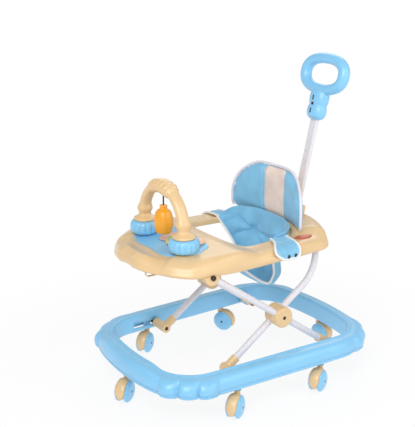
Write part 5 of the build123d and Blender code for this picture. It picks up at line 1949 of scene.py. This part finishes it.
@dataclass(frozen=True)
class BaseRing:
    """The blue base ring: a rounded channel with a raised front ledge and three lobes at each corner."""

    probe_height: float = 0.1025
    columns: int = 840
    ledge_half: float = 0.135
    ledge_fade: float = 0.050
    ledge_rise: float = 0.006
    ledge_levels: Pair = (0.098, 0.111)
    lobe_push: float = 0.0115
    lobe_middle: float = 0.0865
    lobe_half_height: float = 0.0235
    lobe_half_width: float = 0.0205
    front_lobes: Floats = (-59.5, -51.0, -43.0)
    rear_lobes: Floats = (49.0, 56.5, 64.0)
    corner_bearings: Pair = (52.0, 128.0)
    corner_pull: float = 0.005
    corner_spread: float = 11.0
    slot_rear: float = -0.0945
    slot_front: float = -0.1658
    slot_low: float = 0.077
    slot_high: float = 0.089
    lug_start: float = 0.1673
    lug_end: float = 0.1950
    lug_place: Pair = (0.187, 0.083)
    lug_radius: float = 0.0150
    lug_points: int = 48
    pin_radius: float = 0.00505
    boss_radius: float = 0.0095
    boss_low: float = 0.062
    boss_top: float = 0.108
    boss_points: int = 32
    outer_rows: Profile = (
        (-0.0100, 0.0680), (-0.0050, 0.0690), (-0.0015, 0.0712), (0.0006, 0.0745), (0.0009, 0.0763),
        (-0.0013, 0.0776), (-0.0008, 0.0790), (0.0010, 0.0820), (0.0016, 0.0865), (0.0012, 0.0910),
        (0.0002, 0.0955), (-0.0016, 0.1005), (-0.0044, 0.1050), (-0.0082, 0.1088), (-0.0128, 0.1112),
    )
    inner_rows: Profile = (
        (0.0150, 0.1114), (0.0092, 0.1109), (0.0076, 0.1122), (0.0058, 0.1136), (0.0036, 0.1138),
        (0.0014, 0.1124), (0.0002, 0.1095), (0.0, 0.1040), (0.0, 0.0890), (0.0, 0.0770), (0.0, 0.0690),
        (0.0008, 0.0672), (0.0030, 0.0672), (0.0032, 0.0770), (0.0032, 0.0890), (0.0045, 0.1040),
    )
    under_rows: Profile = (
        (-0.0135, 0.1075), (-0.0075, 0.1000), (-0.0045, 0.0880), (-0.0060, 0.0745), (-0.0105, 0.0705),
    )

    def lobes(self, points: Array) -> Array:
        """Share of the push that the corner lobes give each outline point.

        Args:
            points: the outline.

        Returns:
            A share from 0 to 1 for each point.
        """
        angles = [math.radians(a) for a in (*self.front_lobes, *self.rear_lobes)]
        angles += [math.pi - a for a in angles]
        push = np.zeros(len(points))
        bearing = np.arctan2(points[:, 1], points[:, 0])
        for angle in angles:
            turn = np.angle(np.exp(1j * (bearing - angle)))
            away = np.abs(turn) * np.hypot(points[:, 0], points[:, 1]) / self.lobe_half_width
            push = np.maximum(push, np.sqrt(np.clip(1.0 - away**2, 0.0, 1.0)))
        return push

    def channel(self, node: Piece) -> Piece:
        """The rounded channel between the outlines of the CAD node.

        Args:
            node: the CAD ring.

        Returns:
            The channel, with its slots.
        """
        probe = NodeProbe(node)
        angles = circle(self.columns)
        way = np.stack([np.cos(angles), np.sin(angles)], axis=-1)
        inner = np.array([probe.inside(a, self.probe_height) for a in angles])
        outer = np.array([probe.outside(a, [self.probe_height]) for a in angles])
        edge = way * outer[:, None]
        step = np.roll(edge, -1, axis=0) - np.roll(edge, 1, axis=0)
        facing = np.stack([step[:, 1], -step[:, 0]], axis=-1) / np.linalg.norm(step, axis=1, keepdims=True)
        slant = np.sum(facing * way, axis=1)
        lobes = self.lobes(edge)
        bearing = np.abs(np.degrees(np.angle(np.exp(1j * angles))))
        corners = sum(bell(bearing - middle, self.corner_spread) for middle in self.corner_bearings)
        outer = outer - self.corner_pull * corners
        front = 1.0 - smoothstep(self.ledge_half - self.ledge_fade, self.ledge_half, np.abs(edge[:, 0]))
        front = front * (edge[:, 1] < 0)

        def ring(radius: Array, offset: float, height: float, pushed: bool) -> Array:
            """One ring of points beside an outline.

            Args:
                radius: the outline.
                offset: how far outside it the ring lies.
                height: the ring's level.
                pushed: whether the corner lobes push it out.

            Returns:
                The points.
            """
            swell = np.sqrt(max(0.0, 1.0 - ((height - self.lobe_middle) / self.lobe_half_height) ** 2))
            push = lobes * self.lobe_push * swell if pushed else 0.0
            lift = self.ledge_rise * front * float(smoothstep(*self.ledge_levels, np.array(height)))
            spread = radius + (offset + push) / slant
            return np.concatenate([way * spread[:, None], (height + lift)[:, None]], axis=1)

        rows = [ring(outer, o, z, True) for o, z in self.outer_rows]
        rows += [ring(inner, o, z, False) for o, z in self.inner_rows]
        rows += [ring(outer, o, z, False) for o, z in self.under_rows]
        return self.with_slots(np.array(rows))

    def with_slots(self, grid: Array) -> Piece:
        """Ring from its grid, with a slot cut through the inner wall on each side.

        Args:
            grid: points by row and column.

        Returns:
            The ring.
        """
        rows, columns = grid.shape[:2]
        first = len(self.outer_rows)
        heights = [z for _, z in self.inner_rows]
        top, low = first + heights.index(self.slot_high), first + heights.index(self.slot_low)
        back_low = first + len(heights) - 1 - heights[::-1].index(self.slot_low)
        back_top = back_low + 1
        wall = grid[top]
        along = (wall[:, 1] > self.slot_front) & (wall[:, 1] < self.slot_rear)
        faces = grid_faces(rows, columns, True, True)
        cut = set()
        for side in Side:
            spots = np.flatnonzero(along & (np.sign(wall[:, 0]) == side.value))
            start, end = int(spots.min()), int(spots.max())
            for c in range(start, end):
                cut |= {top * columns + c, back_low * columns + c}
                for near, far in ((top, back_top), (low, back_low)):
                    near_c, far_c = near * columns + c, far * columns + c
                    faces.append((near_c, near_c + 1, far_c + 1, far_c))
            for c in (start, end):
                faces.append(tuple(row * columns + c for row in (top, low, back_low, back_top)))
        kept = [face for number, face in enumerate(faces) if number not in cut]
        return mesh_object("ring", grid.reshape(-1, 3), kept)

    def build(self, node: Piece, stems: Sequence[Vector]) -> None:
        """Make and place the ring with its lugs and caster bosses.

        Args:
            node: the CAD ring.
            stems: where the caster stems stand.
        """
        pieces = [self.channel(node)]
        pin, lug, long = self.pin_radius, self.lug_radius, self.lug_end - self.lug_start
        sleeve = [(pin, 0.0), (lug, 0.0), (lug, long), (pin, long), (pin, 0.0)]
        for side in Side:
            start = (side.value * self.lug_start, *self.lug_place)
            axes = Axes(start, (float(side.value), 0.0, 0.0), (0.0, 1.0, 0.0))
            pieces.append(turned("lug", sleeve, axes, self.lug_points))
        tall = self.boss_top - self.boss_low
        boss = [(0.0, 0.0), (self.boss_radius, 0.0), (self.boss_radius, tall), (0.0, tall)]
        for stem in stems:
            pieces.append(turned("boss", boss, Axes((stem.x, stem.y, self.boss_low)), self.boss_points))
        place(dress(merge("base_ring_moulding", pieces), SKY()), "base", "blue_plastic", "base_ring")


@dataclass(frozen=True)
class Trim:
    """Small fittings: domed screws on the hubs and the red plates on the rear deck."""

    sewing: Haberdashery
    screw_radius: float = 0.0046
    screw_rise: float = 0.5
    screw_sink: float = 0.0026
    plate_place: Pair = (0.130, 0.126)
    plate_height: float = 0.3585
    plate_long: float = 0.024
    plate_wide: float = 0.011
    plate_thick: float = 0.0024
    plate_points: int = 48
    plate_rows: Profile = ((0.0, 0.0), (1.0, 0.0), (1.0, 0.6), (0.94, 0.9), (0.85, 1.0), (0.0, 1.0))

    def screws(self) -> None:
        """Make and place the screws."""
        low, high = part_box("hub_bolts")
        spots = []
        for side in Side:
            face = high.x if side is Side.LEFT else low.x
            spot = (face - side.value * self.screw_sink, (low.y + high.y) / 2, (low.z + high.z) / 2)
            spots.append((spot, (side.value, 0.0, 0.0)))
        screws = self.sewing.stud("hub_screws", spots, self.screw_radius, self.screw_rise, STEEL())
        place(screws, "outer_frame", "dark_steel", "hub_bolts")

    def plates(self) -> None:
        """Make and place the plates."""
        size = np.array([self.plate_wide, self.plate_long, self.plate_thick])
        x, y = self.plate_place
        plates = []
        for side in Side:
            plate = turned("plate", self.plate_rows, Axes((0.0, 0.0, 0.0)), self.plate_points)
            spot = np.array([side.value * x, y, self.plate_height])
            for vertex in plate.data.vertices:
                vertex.co = spot + np.array(vertex.co) * size
            plates.append(plate)
        place(dress(merge("deck_plate_discs", plates), RED()), "tray", "red_plastic", "deck_plates")

    def build(self) -> None:
        """Make and place the screws and the plates."""
        self.screws()
        self.plates()


@dataclass(frozen=True)
class Studio:
    """Camera, lamps, floor and world."""

    target: Point = (0.0, -0.060, 0.415)
    eye: Point = (1.6574, -1.1654, 1.0165)
    focal_pixels: float = 885.0
    image: tuple[int, int] = (415, 427)
    sensor: float = 36.0
    far_clip: float = 100.0
    lamps: tuple[tuple[str, Point, float, float], ...] = (
        ("key", (1.5, -1.7, 2.1), 44.0, 1.8),
        ("fill", (2.2, 0.9, 1.5), 18.0, 2.0),
        ("rim", (-1.8, 1.6, 2.2), 14.0, 1.6),
    )
    world_light: float = 0.55
    world_shown: float = 1.0
    floor_size: float = 40.0
    floor_grey: float = 0.93
    floor_glow: float = 0.86
    clear_radius: float = 0.45
    fade_radius: float = 0.95

    def stand(self, obj: Piece, where: Point) -> None:
        """Stand a camera or lamp in the scene, aimed at the walker.

        Args:
            obj: the camera or lamp.
            where: its place.
        """
        obj.location = where
        obj.rotation_euler = (Vector(self.target) - Vector(where)).to_track_quat("-Z", "Y").to_euler()
        bpy.context.scene.collection.objects.link(obj)

    def camera(self) -> None:
        """Camera at the photograph's viewing angle."""
        data = bpy.data.cameras.new("photo_camera")
        data.sensor_width = self.sensor
        data.lens = self.focal_pixels * self.sensor / max(self.image)
        data.clip_end = self.far_clip
        eye = bpy.data.objects.new("photo_camera", data)
        self.stand(eye, self.eye)
        bpy.context.scene.camera = eye

    def lamp(self, name: str, where: Point, power: float, size: float) -> None:
        """Soft square lamp aimed at the walker.

        Args:
            name: the lamp's name.
            where: its place.
            power: its power in watts.
            size: the length of its side.
        """
        data = bpy.data.lights.new(name, "AREA")
        data.energy = power
        data.size = size
        self.stand(bpy.data.objects.new(name, data), where)

    def world(self) -> None:
        """White surroundings that light the walker softly and show as white."""
        world = bpy.data.worlds.new("studio")
        world.use_nodes = True
        nodes = Nodes(world.node_tree)
        background = nodes.tree.nodes["Background"]
        nodes.feed((1.0, 1.0, 1.0, 1.0), background.inputs["Color"])
        paths = nodes.add("ShaderNodeLightPath").outputs
        rays = {0: paths["Is Camera Ray"], 1: paths["Is Transmission Ray"]}
        seen = nodes.add("ShaderNodeMath", rays, operation="MAXIMUM")
        levels = {"Value": seen.outputs[0], "To Min": self.world_light, "To Max": self.world_shown}
        strength = nodes.add("ShaderNodeMapRange", levels)
        nodes.feed(strength.outputs["Result"], background.inputs["Strength"])
        bpy.context.scene.world = world

    def paper(self) -> Material:
        """Pale paper that fades to a white glow away from the walker.

        Returns:
            The material.
        """
        material = bpy.data.materials.new("floor_paper")
        material.use_nodes = True
        nodes = Nodes(material.node_tree)
        nodes.tree.nodes.remove(nodes.tree.nodes["Principled BSDF"])
        paper = nodes.add("ShaderNodeBsdfDiffuse", {"Color": (*[self.floor_grey] * 3, 1.0)})
        glow = nodes.add("ShaderNodeEmission")
        coords = nodes.add("ShaderNodeTexCoord")
        length = nodes.add("ShaderNodeVectorMath", {0: coords.outputs["Object"]}, operation="LENGTH")
        fading = {"From Min": self.clear_radius, "From Max": self.fade_radius, "To Min": self.floor_glow}
        fading["Value"] = length.outputs["Value"]
        fade = nodes.add("ShaderNodeMapRange", fading, interpolation_type="SMOOTHSTEP")
        shares = {0: fade.outputs["Result"], 1: paper.outputs[0], 2: glow.outputs[0]}
        mix = nodes.add("ShaderNodeMixShader", shares)
        nodes.feed(mix.outputs[0], nodes.tree.nodes["Material Output"].inputs["Surface"])
        return material

    def floor(self) -> None:
        """Floor that keeps the walker's shadow."""
        half = self.floor_size / 2
        corners = [(-half, -half, 0.0), (half, -half, 0.0), (half, half, 0.0), (-half, half, 0.0)]
        floor = dress(mesh_object("floor", corners, [(0, 1, 2, 3)]), self.paper())

    def build(self) -> None:
        """Set up the whole studio."""
        bpy.context.scene.view_settings.view_transform = "Standard"
        self.camera()
        for lamp in self.lamps:
            self.lamp(*lamp)
        self.world()
        self.floor()


SLOT_FINISH: dict[str, Finish] = {
    "blue_plastic": SKY,
    "cream_plastic": CREAM,
    "frame_paint": TUBE,
    "dark_steel": STEEL,
    "orange_plastic": ORANGE,
    "yellow_plastic": YELLOW,
    "peach_plastic": PEACH,
    "red_plastic": RED,
    "seat_fabric": SEAT,
}


def dress_frame(frame: dict) -> None:
    """Give every CAD node the finish of its material slot.

    Args:
        frame: the loaded frame.
    """
    for part in frame["record"]["subparts"]:
        dress(frame["nodes"][part["node"]], SLOT_FINISH[part["material_slot"]]())


def main() -> None:
    """Build the walker's looks in order."""
    logging.basicConfig(level=logging.INFO, format="%(message)s")
    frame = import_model()
    dress_frame(frame)
    sewing = Haberdashery()
    place(TrayShell().build(frame["nodes"]["tray_shell"]), "tray", "cream_plastic", "tray_shell")
    RodTracks().build()
    ToyDeck().build()
    Casters().build(frame["joints"])
    stems = [Vector(joint["pos_m"]) for joint in frame["joints"] if joint["name"].startswith("swivel_")]
    BaseRing().build(frame["nodes"]["base_ring"], stems)
    Backrest(sewing).build()
    SeatCover(sewing).build()
    PushHandle(sewing).build()
    Trim(sewing).build()
    Studio().build()


if __name__ == "__main__":
    main()
